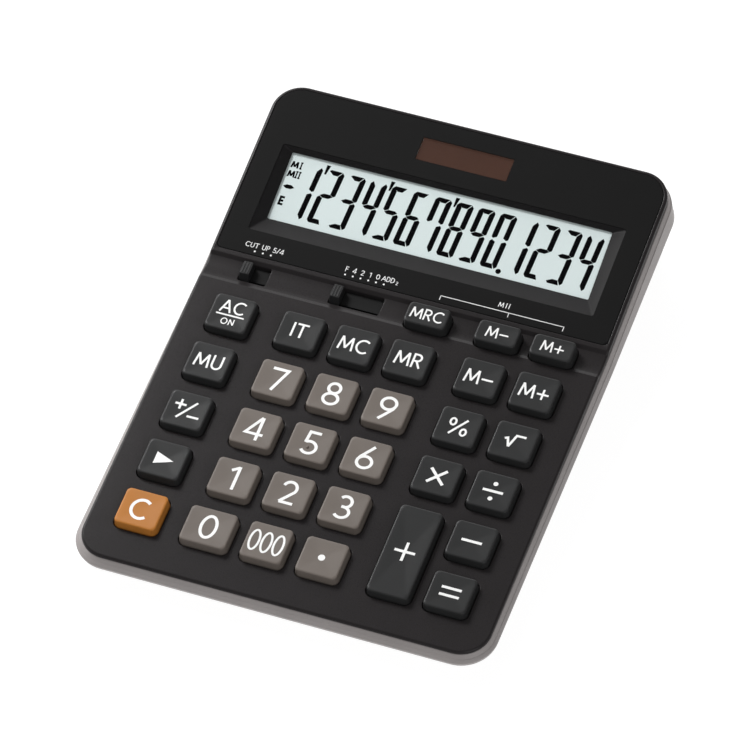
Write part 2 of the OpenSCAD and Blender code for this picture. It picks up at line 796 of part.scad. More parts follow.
// Frame behind the glass, screwed to two bosses beside the opening.
frame_rim_x = 2.2;
frame_rim_y = 1;
frame_ledge = 4;
lug_w = 11;
lug_d = 9;
lug_top = -7.06;
lug_t = 1.34;
module lcd_retainer() {
  color("#4a4a4c") difference() {
    union() {
      on_lcd() plate(window_w + 2 * frame_rim_x, window_d + 2 * frame_rim_y, frame_bottom, -0.05);
      for (side = [-1, 1])
        on_panel(side * (lcd_screw_x - 3.4), recess_y) plate(lug_w, lug_d, lug_top - lug_t, lug_top);
    }
    on_lcd() {
      plate(window_w + 0.2, window_d + 0.2, rear_glass_bottom - 0.05, 1);
      plate(cell_glass_w - 2 * frame_ledge, cell_glass_d - 2 * frame_ledge, frame_bottom - 2, 1);
      translate([0, -cell_glass_d / 2, 0])
        plate(ribbon_w + 6, 7, frame_bottom - 2, front_glass_bottom + 0.1);
    }
    for (side = [-1, 1])
      on_panel(side * lcd_screw_x, recess_y) translate([0, 0, -9]) cylinder(r = 1, h = 4);
  }
}

// Thin printed ribbon from the front edge of the glass down to the board.
ribbon_w = 90;
ribbon_t = 0.22;
module lcd_ribbon() {
  glass_edge = [
    lcd_y - (cell_glass_d / 2 - 0.2) * cos(lcd_tilt),
    lcd_z - cell_glass_d / 2 * sin(lcd_tilt) + front_glass_bottom - 0.2
  ];
  landing_y = board_rear_y - 1.2;
  landing = [landing_y, deck_z(landing_y) + board_top + 0.02];
  color("#c8a24a") rotate([90, 0, 90]) translate([0, 0, -ribbon_w / 2]) linear_extrude(height = ribbon_w)
    polygon([
      landing, landing + [4, 0.34], glass_edge + [-2, -3],
      glass_edge, glass_edge + [-0.2, 0.1], glass_edge + [-2.1, -2.7],
      landing + [3.9, 0.34 + ribbon_t], landing + [0, ribbon_t]
    ]);
}

module solar_window() {
  color("#47322a", 0.8) on_panel(0, solar_y) plate(solar_w - 0.2, solar_d - 0.2, -panel_t, -0.12);
}

module solar_cell() {
  color("#33211c") on_panel(0, solar_y) plate(solar_w + 0.8, solar_d + 0.8, -2.4, -panel_t - 0.1);
}

// Wires as straight runs of round rod between listed points, with a ball at each bend.
module wire(points) {
  for (i = [0 : len(points) - 2]) rod(points[i], points[i + 1]);
  for (i = [1 : len(points) - 2]) translate(points[i]) sphere(r = wire_r + 0.05);
}

module rod(from, to) {
  run = to - from;
  length = norm(run);
  translate(from) rotate([0, acos(run.z / length), atan2(run.y, run.x)]) cylinder(r = wire_r, h = length);
}

// Two leads run from the solar cell and one from the upper battery contact to the board.
module power_leads() {
  terminal_z = panel_z(solar_y) - 2.85;
  color("#a3332c") {
    wire([[10, solar_y, terminal_z], [10, 92, 20], [10, 40, 11], [10, 24, 12.9]]);
    wire([[14, solar_y, terminal_z], [14, 92, 19], [14, 40, 10], [14, 22, 12.7]]);
    wire([[cell_x, cover_y + cell_r - 0.1, 12], [20, 46, 11], [20, 24, 12.8]]);
  }
}

upper_case();
lower_case();
display_panel();
lcd_bezel();
lcd_window();
lcd_cell();
lcd_retainer();
lcd_ribbon();
solar_window();
solar_cell();
power_leads();
main_board();
processor_chip();
key_mat();
button_cell();
battery_contacts();
battery_cover();
battery_cover_screw();
case_screws();
board_screws();
rubber_feet();
rounding_switch_knob();
rounding_switch_contact();
decimal_switch_knob();
decimal_switch_contact();
key_second_memory_recall();
key_second_memory_minus();
key_second_memory_plus();
key_all_clear();
key_item_count();
key_memory_clear();
key_memory_recall();
key_memory_minus();
key_memory_plus();
key_mark_up();
key_7();
key_8();
key_9();
key_percent();
key_root();
key_sign();
key_4();
key_5();
key_6();
key_times();
key_divide();
key_shift();
key_1();
key_2();
key_3();
key_plus();
key_minus();
key_clear();
key_0();
key_000();
key_point();
key_equals();
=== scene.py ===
import json
import math

import bmesh
import bpy
from mathutils import Matrix, Vector
from mathutils.geometry import delaunay_2d_cdt


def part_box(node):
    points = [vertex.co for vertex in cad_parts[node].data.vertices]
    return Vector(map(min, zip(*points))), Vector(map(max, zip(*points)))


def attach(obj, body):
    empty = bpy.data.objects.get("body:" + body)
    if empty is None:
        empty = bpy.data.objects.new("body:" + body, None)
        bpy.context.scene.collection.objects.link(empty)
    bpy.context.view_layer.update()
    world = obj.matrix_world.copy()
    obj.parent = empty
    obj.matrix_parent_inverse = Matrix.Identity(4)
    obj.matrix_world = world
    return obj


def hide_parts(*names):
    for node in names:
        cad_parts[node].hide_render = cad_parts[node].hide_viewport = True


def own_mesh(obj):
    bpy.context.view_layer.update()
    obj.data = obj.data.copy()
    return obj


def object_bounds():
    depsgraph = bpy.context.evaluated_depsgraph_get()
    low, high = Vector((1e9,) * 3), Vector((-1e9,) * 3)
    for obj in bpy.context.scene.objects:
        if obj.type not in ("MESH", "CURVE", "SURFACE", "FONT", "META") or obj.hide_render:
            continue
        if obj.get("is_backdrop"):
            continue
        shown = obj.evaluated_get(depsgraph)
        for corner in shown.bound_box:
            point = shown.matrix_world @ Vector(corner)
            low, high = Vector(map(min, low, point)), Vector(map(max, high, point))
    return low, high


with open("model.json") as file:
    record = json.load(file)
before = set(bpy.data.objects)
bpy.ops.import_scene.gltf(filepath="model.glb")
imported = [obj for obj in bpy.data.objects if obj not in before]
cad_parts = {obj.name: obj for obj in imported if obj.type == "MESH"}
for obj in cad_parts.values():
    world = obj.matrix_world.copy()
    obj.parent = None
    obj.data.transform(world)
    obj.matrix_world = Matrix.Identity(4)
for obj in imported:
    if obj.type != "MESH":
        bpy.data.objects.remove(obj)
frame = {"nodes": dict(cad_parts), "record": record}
cad_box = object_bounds()

# ---------------------------------------------------------------- sizes, in millimetres
MM = 0.001
CASE_W, CASE_D, CASE_H = ((high - low) / MM for low, high in zip(*cad_box))
CORNER_R = 13
GROUND_GAP = 0.8
WALL = 1.8
SEAM_INSET = 2.2
EDGE_ROUND = 0.95
CASE_INSET = 4.3

DECK_TILT = math.radians(4.84)
PANEL_TILT = math.radians(9.8)
LCD_TILT = math.radians(14.2)
DECK_RISE = 19.2
DECK_SLOPE = math.tan(DECK_TILT)
PANEL_SLOPE = math.tan(PANEL_TILT)
PANEL_REAR_Y = CASE_D / 2 - SEAM_INSET - EDGE_ROUND
COVE_FRONT_Y, RIM_Y, RIM_DROP = 18.3, 19.8, 0.58
FOOT_Y, FOOT_DROP, LIP_Y = 28.5, 0.75, 29.6
COVE_DIP, COVE_DROP = 0.4, 0.75
COVE_STEPS = 16
BEND_Y = 27

KEY_H, COVE_KEY_H = 2.87, 3.6
KEY_BASE_R, KEY_MIDDLE_R, KEY_TOP_R, KEY_HOLE_R = 2.4, 2.0, 1.6, 2.7
KEY_GAP, SKIRT, FLANGE_LIP, FLANGE_T = 0.35, 0.45, 1.2, 0.8
DECK_FLANGE_TOP = -WALL - 0.12
COVE_FLANGE_TOP = DECK_FLANGE_TOP - 0.78
KEY_DISH = 0.2
KEY_ROUND = 0.45
DOME_TOP, MAT_TOP, MAT_BOTTOM = -3.7, -5.9, -6.58

PANEL_T = 1
PLATE_FRONT_Y, PLATE_INSET = 31.5, 3.75
RECESS_W, RECESS_FRONT_Y, RECESS_REAR_Y = 130, 41.4, 77.8
RECESS_Y, RECESS_D = (RECESS_REAR_Y + RECESS_FRONT_Y) / 2, RECESS_REAR_Y - RECESS_FRONT_Y
LCD_Y, LCD_Z, LCD_W, LCD_D, VIEW_X = 63.2, 24.87, 121.4, 27.5, -0.5
SOLAR_Y, SOLAR_W, SOLAR_D = 89.4, 34.6, 9.6

ROUNDING_X, DECIMAL_X, SWITCH_Y = -59.3, -25, 24.6
ROUNDING_STEP, DECIMAL_STEP = 3.05, 2.93
KNOB_W, KNOB_D, KNOB_BACK, KNOB_FOOT_D, KNOB_TOP = 3.8, 5.6, 0.6, 7, 1.4
WELL_D, WELL_FLOOR, SLIT_Y, SLIT_D = 7.6, -2.3, -3.0, 1.2

# How far a printed or inlaid mark sinks below the surface that it lies on.
MARK_SINK = 0.06

CASE = "calculator"


def panel_z(y):
    return CASE_H - PANEL_SLOPE * (PANEL_REAR_Y - y)


def deck_z(y):
    return DECK_RISE + DECK_SLOPE * y


def cove_arc():
    """Arc from the rear of the rim to the foot of the wall: y and z of its centre, and its radius."""
    rim_z, foot_z = deck_z(RIM_Y) - RIM_DROP, deck_z(FOOT_Y) - FOOT_DROP
    chord = math.hypot(FOOT_Y - RIM_Y, foot_z - rim_z)
    radius = chord * chord / (8 * COVE_DIP) + COVE_DIP / 2
    lean = math.atan2(foot_z - rim_z, FOOT_Y - RIM_Y)
    reach = radius - COVE_DIP
    y = (RIM_Y + FOOT_Y) / 2 - reach * math.sin(lean)
    z = (rim_z + foot_z) / 2 + reach * math.cos(lean)
    return y, z, radius


COVE_Y0, COVE_Z0, COVE_R = cove_arc()


def between(y, start, end):
    """Height at y on the straight line between two (y, z) points."""
    return start[1] + (end[1] - start[1]) * (y - start[0]) / (end[0] - start[0])


def top_z(y):
    """Outer surface: deck, bevelled rim, scoop, sloping wall, then the plane of the panel."""
    if y <= COVE_FRONT_Y:
        return deck_z(y)
    if y >= LIP_Y:
        return panel_z(y)
    if y < RIM_Y:
        return between(y, (COVE_FRONT_Y, deck_z(COVE_FRONT_Y)), (RIM_Y, deck_z(RIM_Y) - RIM_DROP))
    if y > FOOT_Y:
        return between(y, (FOOT_Y, deck_z(FOOT_Y) - FOOT_DROP), (LIP_Y, panel_z(LIP_Y)))
    return COVE_Z0 - math.sqrt(COVE_R**2 - (y - COVE_Y0) ** 2)


def ceiling_z(y):
    """Inner side of the top wall."""
    if y <= COVE_FRONT_Y:
        return deck_z(y) - WALL
    return panel_z(y) - WALL if y >= LIP_Y else deck_z(y) - WALL - COVE_DROP


def bent(rise, front, rear):
    """Line along the side of the case, with one slope in front of BEND_Y and another behind it."""
    return lambda y: rise + (front if y < BEND_Y else rear) * (y - BEND_Y)


widest_z = bent(14.1, 0.0549, 0.104)
ridge_z = bent(16.5, 0.065, 0.1715)
seam_z = bent(18.35, 0.069, 0.172)


# ---------------------------------------------------------------- mesh tools, in millimetres
def arc(cx, cy, rx, ry, start, stop, step=12):
    """Points on an ellipse from one angle to another, in degrees."""
    n = max(3, round(abs(stop - start) / step))
    angles = [math.radians(start + (stop - start) * i / n) for i in range(n + 1)]
    return [(cx + rx * math.cos(a), cy + ry * math.sin(a)) for a in angles]


def rounded_rect(w, d, r, cx=0.0, cy=0.0, steps=7, rear_r=None):
    """Anticlockwise outline; rear_r is the radius of the two corners on the +Y side."""
    rear_r = r if rear_r is None else rear_r
    out = []
    for sx, sy, start, radius in ((1, -1, -90, r), (1, 1, 0, rear_r), (-1, 1, 90, rear_r), (-1, -1, 180, r)):
        x, y = cx + sx * (w / 2 - radius), cy + sy * (d / 2 - radius)
        out += arc(x, y, radius, radius, start, start + 90, 90 / steps)
    return out


def circle(r, cx=0.0, cy=0.0, n=32):
    angles = [2 * math.pi * i / n for i in range(n)]
    return [(cx + r * math.cos(a), cy + r * math.sin(a)) for a in angles]


class Solid:
    """Collects closed shapes as points and faces, then becomes one piece."""

    def __init__(self):
        self.points, self.faces, self.painted = [], [], []

    def add(self, points):
        start = len(self.points)
        self.points += [tuple(p) for p in points]
        return list(range(start, len(self.points)))

    def bridge(self, a, b, closed=True):
        n = len(a)
        for i in range(n if closed else n - 1):
            j = (i + 1) % n
            self.faces.append((a[i], a[j], b[j], b[i]))

    def loft(self, rings):
        """Rings of equal length joined in turn, with both ends filled."""
        rows = [self.add(r) for r in rings]
        for a, b in zip(rows, rows[1:]):
            self.bridge(a, b)
        self.faces += [tuple(rows[0]), tuple(rows[-1])]

    def tube(self, rings):
        """Rings joined in turn, and the last to the first."""
        rows = [self.add(r) for r in rings]
        for a, b in zip(rows, rows[1:] + rows[:1]):
            self.bridge(a, b)

    def prism(self, outline, low, high):
        self.loft([[(x, y, z) for x, y in outline] for z in (low, high)])

    def prism_on(self, outline, surface, lift):
        """Thin prism that follows a surface."""
        self.loft([[(x, y, surface(x, y) + z) for x, y in outline] for z in (-MARK_SINK, lift)])

    def block(self, w, d, low, high, cx=0.0, cy=0.0, edge=0.15, r=0.4):
        """Rounded block with softened top and bottom edges."""
        soft = edge * 0.3
        levels = [(edge, low), (0, low + edge), (0, high - edge), (soft, high - soft), (edge, high)]
        self.loft([
            [(x, y, z) for x, y in rounded_rect(w - 2 * e, d - 2 * e, max(r - e, 0.05), cx, cy, 4)]
            for e, z in levels
        ])

    def turned(self, profile, cx=0.0, cy=0.0, n=32):
        """Solid of revolution from (radius, height) pairs."""
        self.loft([[(x, y, z) for x, y in circle(r, cx, cy, n)] for r, z in profile])

    def ring(self, profile, cx=0.0, cy=0.0, n=32):
        """Closed ring of revolution: the profile goes once round the section."""
        self.tube([[(x, y, z) for x, y in circle(r, cx, cy, n)] for r, z in profile])

    def place(self, matrix, start=0):
        self.points[start:] = [tuple(matrix @ Vector(p)) for p in self.points[start:]]

    def piece(self, name, body, material, replaces=(), sharp=38):
        mesh = bpy.data.meshes.new(name)
        mesh.from_pydata([Vector(p) * MM for p in self.points], [], self.faces)
        work = bmesh.new()
        work.from_mesh(mesh)
        bmesh.ops.recalc_face_normals(work, faces=work.faces)
        work.to_mesh(mesh)
        work.free()
        mesh.shade_smooth()
        mesh.set_sharp_from_angle(angle=math.radians(sharp))
        mesh.materials.append(material)
        for number, (start, end, look) in enumerate(self.painted, 1):
            mesh.materials.append(look)
            for face in mesh.polygons[start:end]:
                face.material_index = number
        obj = bpy.data.objects.new(name, mesh)
        bpy.context.scene.collection.objects.link(obj)
        weighted = obj.modifiers.new("even_normals", "WEIGHTED_NORMAL")
        weighted.keep_sharp = True
        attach(obj, body)
        if replaces:
            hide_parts(*replaces)
        return obj


def frame_at(x, y, z, tilt):
    return Matrix.Translation((x, y, z)) @ Matrix.Rotation(tilt, 4, "X")


def on_deck(x, y):
    return frame_at(x, y, deck_z(y), DECK_TILT)


def on_panel(x, y):
    return frame_at(x, y, panel_z(y), PANEL_TILT)


ON_LCD = frame_at(0, LCD_Y, LCD_Z, LCD_TILT)


def inside(x, y, loop):
    hit = False
    for (x0, y0), (x1, y1) in zip(loop, loop[1:] + loop[:1]):
        if (y0 > y) != (y1 > y) and x < (x1 - x0) * (y - y0) / (y1 - y0) + x0:
            hit = not hit
    return hit


def triangulate(plan, holes, cuts=()):
    """Triangles that fill plan outside the holes; cuts join pairs of plan points."""
    points, edges = [], []
    for loop in [plan, *holes]:
        start = len(points)
        points += [Vector(p) for p in loop]
        edges += [(start + i, start + (i + 1) % len(loop)) for i in range(len(loop))]
    edges += list(cuts)
    verts, _, faces, origin, _, _ = delaunay_2d_cdt(points, edges, [], 0, 1e-6)
    kept = []
    for f in faces:
        x, y = (sum(verts[i][k] for i in f) / len(f) for k in (0, 1))
        if inside(x, y, plan) and not any(inside(x, y, h) for h in holes):
            kept.append(tuple(f))
    used = sorted({i for f in kept for i in f})
    new = {old: i for i, old in enumerate(used)}
    flat = [tuple(verts[i]) for i in used]
    source = [min(origin[i]) if origin[i] else -1 for i in used]
    return flat, [tuple(new[i] for i in f) for f in kept], source


def border_loops(faces):
    """Directed loops of the edges that only one face uses."""
    count = {}
    for f in faces:
        for a, b in zip(f, f[1:] + f[:1]):
            count[(a, b)] = count.get((a, b), 0) + 1
    follow = {a: b for a, b in count if (b, a) not in count}
    loops = []
    while follow:
        a = next(iter(follow))
        loop = []
        while a in follow:
            loop.append(a)
            a = follow.pop(a)
        loops.append(loop)
    return loops


def shift_loop(points, distance):
    """Loop points moved sideways, to the right of the way that the loop runs."""
    out = []
    for i, p in enumerate(points):
        a, b = Vector(points[i - 1][:2]), Vector(points[(i + 1) % len(points)][:2])
        p = Vector(p[:2])
        side = Vector((0.0, 0.0))
        for d in ((p - a), (b - p)):
            if d.length > 1e-9:
                d.normalize()
                side += Vector((d.y, -d.x))
        side.normalize()
        out.append(tuple(p + side * distance))
    return out


def shell(solid, plan, holes, face_z, back_z, rim, cuts=(), edge=0.25, edge_steps=3):
    """Closed sheet with rounded openings.

    holes are the finished openings. rim is the rows from the face's border to the back's border, as
    (outline, z function); the first is the face's border and the last is the back's.
    """
    down = 1 if face_z(0, 0) > back_z(0, 0) else -1
    wide = [shift_loop(h, edge) for h in holes]
    flat, faces, source = triangulate(plan, wide, cuts)
    front = solid.add((x, y, face_z(x, y)) for x, y in flat)
    back = solid.add((x, y, back_z(x, y)) for x, y in flat)
    solid.faces += [tuple(front[i] for i in f) for f in faces]
    solid.faces += [tuple(back[i] for i in reversed(f)) for f in faces]
    for loop in border_loops(faces):
        outer = len(plan) == len(loop) and all(0 <= source[i] < len(plan) for i in loop)
        rows = [[front[i] for i in loop]]
        if outer:
            for outline, z in rim[1:-1]:
                places = [outline[source[i]] for i in loop]
                rows.append(solid.add((x, y, z(x, y)) for x, y in places))
            last = rim[-1]
            for i in loop:
                x, y = last[0][source[i]]
                solid.points[back[i]] = (x, y, last[1](x, y))
        else:
            ring = [flat[i] for i in loop]
            for k in range(1, edge_steps + 1):
                a = math.pi / 2 * k / edge_steps
                moved = shift_loop(ring, edge * math.sin(a))
                drop = edge * (1 - math.cos(a)) * down
                rows.append(solid.add((x, y, face_z(x, y) - drop) for x, y in moved))
            for i, (x, y) in zip(loop, shift_loop(ring, edge)):
                solid.points[back[i]] = (x, y, back_z(x, y))
        rows.append([back[i] for i in loop])
        for a, b in zip(rows, rows[1:]):
            solid.bridge(a, b)


# ---------------------------------------------------------------- materials
def material(name, color, rough, grain=0.25, bump=0.15, mottle=0.05, rough_spread=0.05, **sockets):
    """Moulded or coated surface: fine grain in the bump, faint mottling in colour and roughness.

    grain is in mm.
    """
    mat = bpy.data.materials.new(name)
    mat.use_nodes = True
    nodes, links = mat.node_tree.nodes, mat.node_tree.links
    shader = nodes["Principled BSDF"]
    place = nodes.new("ShaderNodeTexCoord")
    fine = nodes.new("ShaderNodeTexNoise")
    fine.inputs["Scale"].default_value = 1 / (grain * MM)
    fine.inputs["Detail"].default_value = 3
    broad = nodes.new("ShaderNodeTexNoise")
    broad.inputs["Scale"].default_value = 70
    broad.inputs["Detail"].default_value = 5
    for noise in (fine, broad):
        links.new(place.outputs["Object"], noise.inputs["Vector"])
    tint = nodes.new("ShaderNodeValToRGB")
    low, high = tint.color_ramp.elements
    low.position, high.position = 0.3, 0.7
    low.color = (*(c * (1 - mottle) for c in color), 1)
    high.color = (*(min(1, c * (1 + mottle)) for c in color), 1)
    links.new(broad.outputs["Fac"], tint.inputs["Fac"])
    links.new(tint.outputs["Color"], shader.inputs["Base Color"])
    level = nodes.new("ShaderNodeMapRange")
    level.inputs["To Min"].default_value = max(0.02, rough - rough_spread)
    level.inputs["To Max"].default_value = min(1, rough + rough_spread)
    links.new(fine.outputs["Fac"], level.inputs["Value"])
    links.new(level.outputs["Result"], shader.inputs["Roughness"])
    relief = nodes.new("ShaderNodeBump")
    relief.inputs["Strength"].default_value = bump
    relief.inputs["Distance"].default_value = grain * MM * 0.4
    links.new(fine.outputs["Fac"], relief.inputs["Height"])
    links.new(relief.outputs["Normal"], shader.inputs["Normal"])
    for socket, value in sockets.items():
        shader.inputs[socket.replace("_", " ")].default_value = value
    return mat


def solar_material():
    """Dark brown cell strips with thin lines between them, seen through a tinted window."""
    mat = material("solar_cell_film", (0.070, 0.024, 0.012), 0.3, grain=0.4, mottle=0.12)
    nodes, links = mat.node_tree.nodes, mat.node_tree.links
    tint = next(n for n in nodes if n.type == "VALTORGB")
    place = next(n for n in nodes if n.type == "TEX_COORD")
    bars = nodes.new("ShaderNodeTexWave")
    bars.bands_direction = "X"
    bars.inputs["Scale"].default_value = 36
    links.new(place.outputs["Object"], bars.inputs["Vector"])
    lines = nodes.new("ShaderNodeMapRange")
    lines.inputs["From Min"].default_value = 0.0
    lines.inputs["From Max"].default_value = 0.03
    lines.inputs["To Min"].default_value = 0.75
    lines.inputs["To Max"].default_value = 1.0
    links.new(bars.outputs["Fac"], lines.inputs["Value"])
    shade = nodes.new("ShaderNodeMix")
    shade.data_type = "RGBA"
    shade.blend_type = "MULTIPLY"
    shade.inputs["Factor"].default_value = 1.0
    links.new(tint.outputs["Color"], shade.inputs["A"])
    links.new(lines.outputs["Result"], shade.inputs["B"])
    links.new(shade.outputs["Result"], nodes["Principled BSDF"].inputs["Base Color"])
    return mat


def board_material():
    """Green solder mask with faint tracks, darkened as painted shade where it shows through the switch slits.
    """
    mat = material("board_mask_painted_shade", (0.012, 0.055, 0.025), 0.35, grain=0.5, mottle=0.1)
    nodes, links = mat.node_tree.nodes, mat.node_tree.links
    place = next(n for n in nodes if n.type == "TEX_COORD")
    tracks = nodes.new("ShaderNodeTexBrick")
    tracks.inputs["Scale"].default_value = 120
    tracks.inputs["Color1"].default_value = (0.012, 0.055, 0.025, 1)
    tracks.inputs["Color2"].default_value = (0.014, 0.062, 0.028, 1)
    tracks.inputs["Mortar"].default_value = (0.03, 0.11, 0.05, 1)
    tracks.inputs["Mortar Size"].default_value = 0.03
    links.new(place.outputs["Object"], tracks.inputs["Vector"])
    links.new(tracks.outputs["Color"], nodes["Principled BSDF"].inputs["Base Color"])
    return mat


BLACK = material(
    "black_textured_plastic", (0.0203, 0.018, 0.0186), 0.28, grain=0.22, bump=0.12, Specular_IOR_Level=0.12)
# Darker black for the floors of the switch wells: painted shade for the shadow that falls inside the wells.
WELL_PAINTED_SHADE = material("switch_well_painted_shade", (0.008, 0.008, 0.008), 0.6, grain=0.22, Specular_IOR_Level=0.1)
PANEL = material(
    "black_panel_plastic", (0.0092, 0.0091, 0.0091), 0.5, grain=0.5, bump=0.03, mottle=0.03,
    Specular_IOR_Level=0.04)
BEZEL = material(
    "bezel_plastic", (0.0105, 0.0098, 0.0103), 0.5, grain=0.2, bump=0.12, Specular_IOR_Level=0.14)
TAUPE = material(
    "taupe_satin_plastic", (0.31, 0.286, 0.281), 0.4, grain=0.18, bump=0.1, Specular_IOR_Level=0.25)
DARK_KEY = material(
    "dark_key_plastic", (0.0262, 0.0266, 0.0269), 0.32, grain=0.2, bump=0.08, Specular_IOR_Level=0.16)
NUMBER_KEY = material(
    "number_key_plastic", (0.152, 0.130, 0.114), 0.42, grain=0.2, bump=0.1, Specular_IOR_Level=0.22)
CLEAR_KEY = material(
    "clear_key_plastic", (0.45, 0.172, 0.031), 0.42, grain=0.2, bump=0.1, Specular_IOR_Level=0.2)
LEGEND = material("legend_white_plastic", (0.88, 0.88, 0.87), 0.45, grain=0.2, bump=0.05, mottle=0.02)
PRINT = material("printed_white_ink", (0.85, 0.85, 0.85), 0.55, grain=0.1, bump=0.1, mottle=0.04)
LCD_FACE = material(
    "display_face", (0.70, 0.79, 0.785), 0.5, grain=0.3, bump=0.02, mottle=0.012, Specular_IOR_Level=0.1)
LCD_INK = material(
    "display_segments", (0.002, 0.002, 0.0025), 0.6, grain=0.3, bump=0.02, mottle=0.1, Specular_IOR_Level=0.0)
WINDOW = material(
    "clear_window", (0.05, 0.05, 0.05), 0.1, grain=1, bump=0.01, rough_spread=0.02, Alpha=0.02,
    Specular_IOR_Level=0.3)
TINT = material(
    "solar_window_tint", (0.085, 0.038, 0.025), 0.15, grain=1, bump=0.01, rough_spread=0.03, Alpha=0.5)
SOLAR = solar_material()
RUBBER = material("foot_rubber", (0.02, 0.02, 0.02), 0.75, grain=0.15, bump=0.4)
SILICONE = material("mat_silicone", (0.13, 0.135, 0.145), 0.6, grain=0.3, bump=0.1)
STEEL = material("plated_steel", (0.55, 0.56, 0.57), 0.3, grain=0.12, bump=0.1, Metallic=1.0)
# The board is kept dark: painted shade for the inside of the case seen through the switch slits.
BOARD_PAINTED_SHADE = board_material()
RESIN = material("chip_resin", (0.01, 0.01, 0.01), 0.25, grain=0.6, bump=0.2)
# Ribbon film in a darkened brown: painted shade for the inside of the case seen through the switch slits.
FILM_PAINTED_SHADE = material("ribbon_film", (0.035, 0.02, 0.01), 0.4, grain=0.4)
SLEEVE = material("wire_sleeve", (0.4, 0.035, 0.025), 0.4, grain=0.2)
INNER = material("inner_plastic", (0.03, 0.03, 0.032), 0.55, grain=0.25)
KNOB = material(
    "switch_knob_plastic", (0.016, 0.016, 0.0165), 0.45, grain=0.2, bump=0.1, Specular_IOR_Level=0.15)

KEPT_NODES = {
    "lcd_retainer": INNER, "lcd_ribbon": FILM_PAINTED_SHADE, "power_leads": SLEEVE, "main_board": BOARD_PAINTED_SHADE,
    "processor_chip": RESIN, "button_cell": STEEL, "battery_contacts": STEEL, "battery_cover_screw": STEEL,
    "case_screws": STEEL, "board_screws": STEEL, "rounding_switch_contact": STEEL,
    "decimal_switch_contact": STEEL, "solar_cell": SOLAR, "lcd_cell": LCD_FACE,
}


# ---------------------------------------------------------------- case
def rounded_lines(y, half=0.14):
    """Lines close to a crease on either side, so that smooth shading turns only there."""
    return [y - half, y, y + half]


COVE_LINES = [
    *rounded_lines(COVE_FRONT_Y), *rounded_lines(RIM_Y),
    *(RIM_Y + (FOOT_Y - RIM_Y) * i / COVE_STEPS for i in range(1, COVE_STEPS)),
    *rounded_lines(FOOT_Y), *rounded_lines(LIP_Y, 0.2),
]


def case_plan(inset):
    """Outline of the case, moved in by inset. Its sides have a point for each line of the hollow."""
    r, cx, cy = CORNER_R - inset, CASE_W / 2 - CORNER_R, CASE_D / 2 - CORNER_R
    side = arc(cx, -cy, r, r, -90, 0, 6)
    side += [(CASE_W / 2 - inset, y) for y in [-40, 0, *COVE_LINES, 60]]
    side += arc(cx, cy, r, r, 0, 90, 6)
    return side + [(-x, y) for x, y in reversed(side)]


def cove_cuts(plan):
    """Pairs of plan points at the same height on both sides, across the hollow."""
    last = len(plan) - 1
    return [
        (i, last - i) for i, (x, y) in enumerate(plan[: len(plan) // 2])
        if x > 0 and COVE_FRONT_Y - 1 < y < LIP_Y + 1
    ]


def key_centre(node):
    """Place of a key on the deck, from its CAD box: (x, y, top width, top depth)."""
    low, high = (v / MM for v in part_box(node))
    cove = "second" in node
    flange_middle = -((COVE_FLANGE_TOP if cove else DECK_FLANGE_TOP) - FLANGE_T / 2)
    spread = 2 * (SKIRT + FLANGE_LIP)
    d = (high.y - low.y - FLANGE_T * math.sin(DECK_TILT)) / math.cos(DECK_TILT) - spread
    y = (low.y + high.y) / 2 - flange_middle * math.sin(DECK_TILT)
    return (low.x + high.x) / 2, y, high.x - low.x - spread, d


KEYS = {
    entry["node"]: key_centre(entry["node"]) for entry in frame["record"]["subparts"]
    if entry["node"].startswith("key_") and entry["node"] != "key_mat"
}

SWITCHES = {
    "rounding_switch": (ROUNDING_X, 2 * ROUNDING_STEP),
    "decimal_switch": (DECIMAL_X, 5 * DECIMAL_STEP),
}


def plate_plan(margin=0.0):
    """Outline of the display panel, moved in by margin."""
    half_w = CASE_W / 2 - PLATE_INSET - margin
    rear = CASE_D / 2 - PLATE_INSET - margin
    front = PLATE_FRONT_Y + margin
    rear_r = CORNER_R - PLATE_INSET - margin
    return rounded_rect(2 * half_w, rear - front, 1.8, 0, (rear + front) / 2, 10, rear_r)


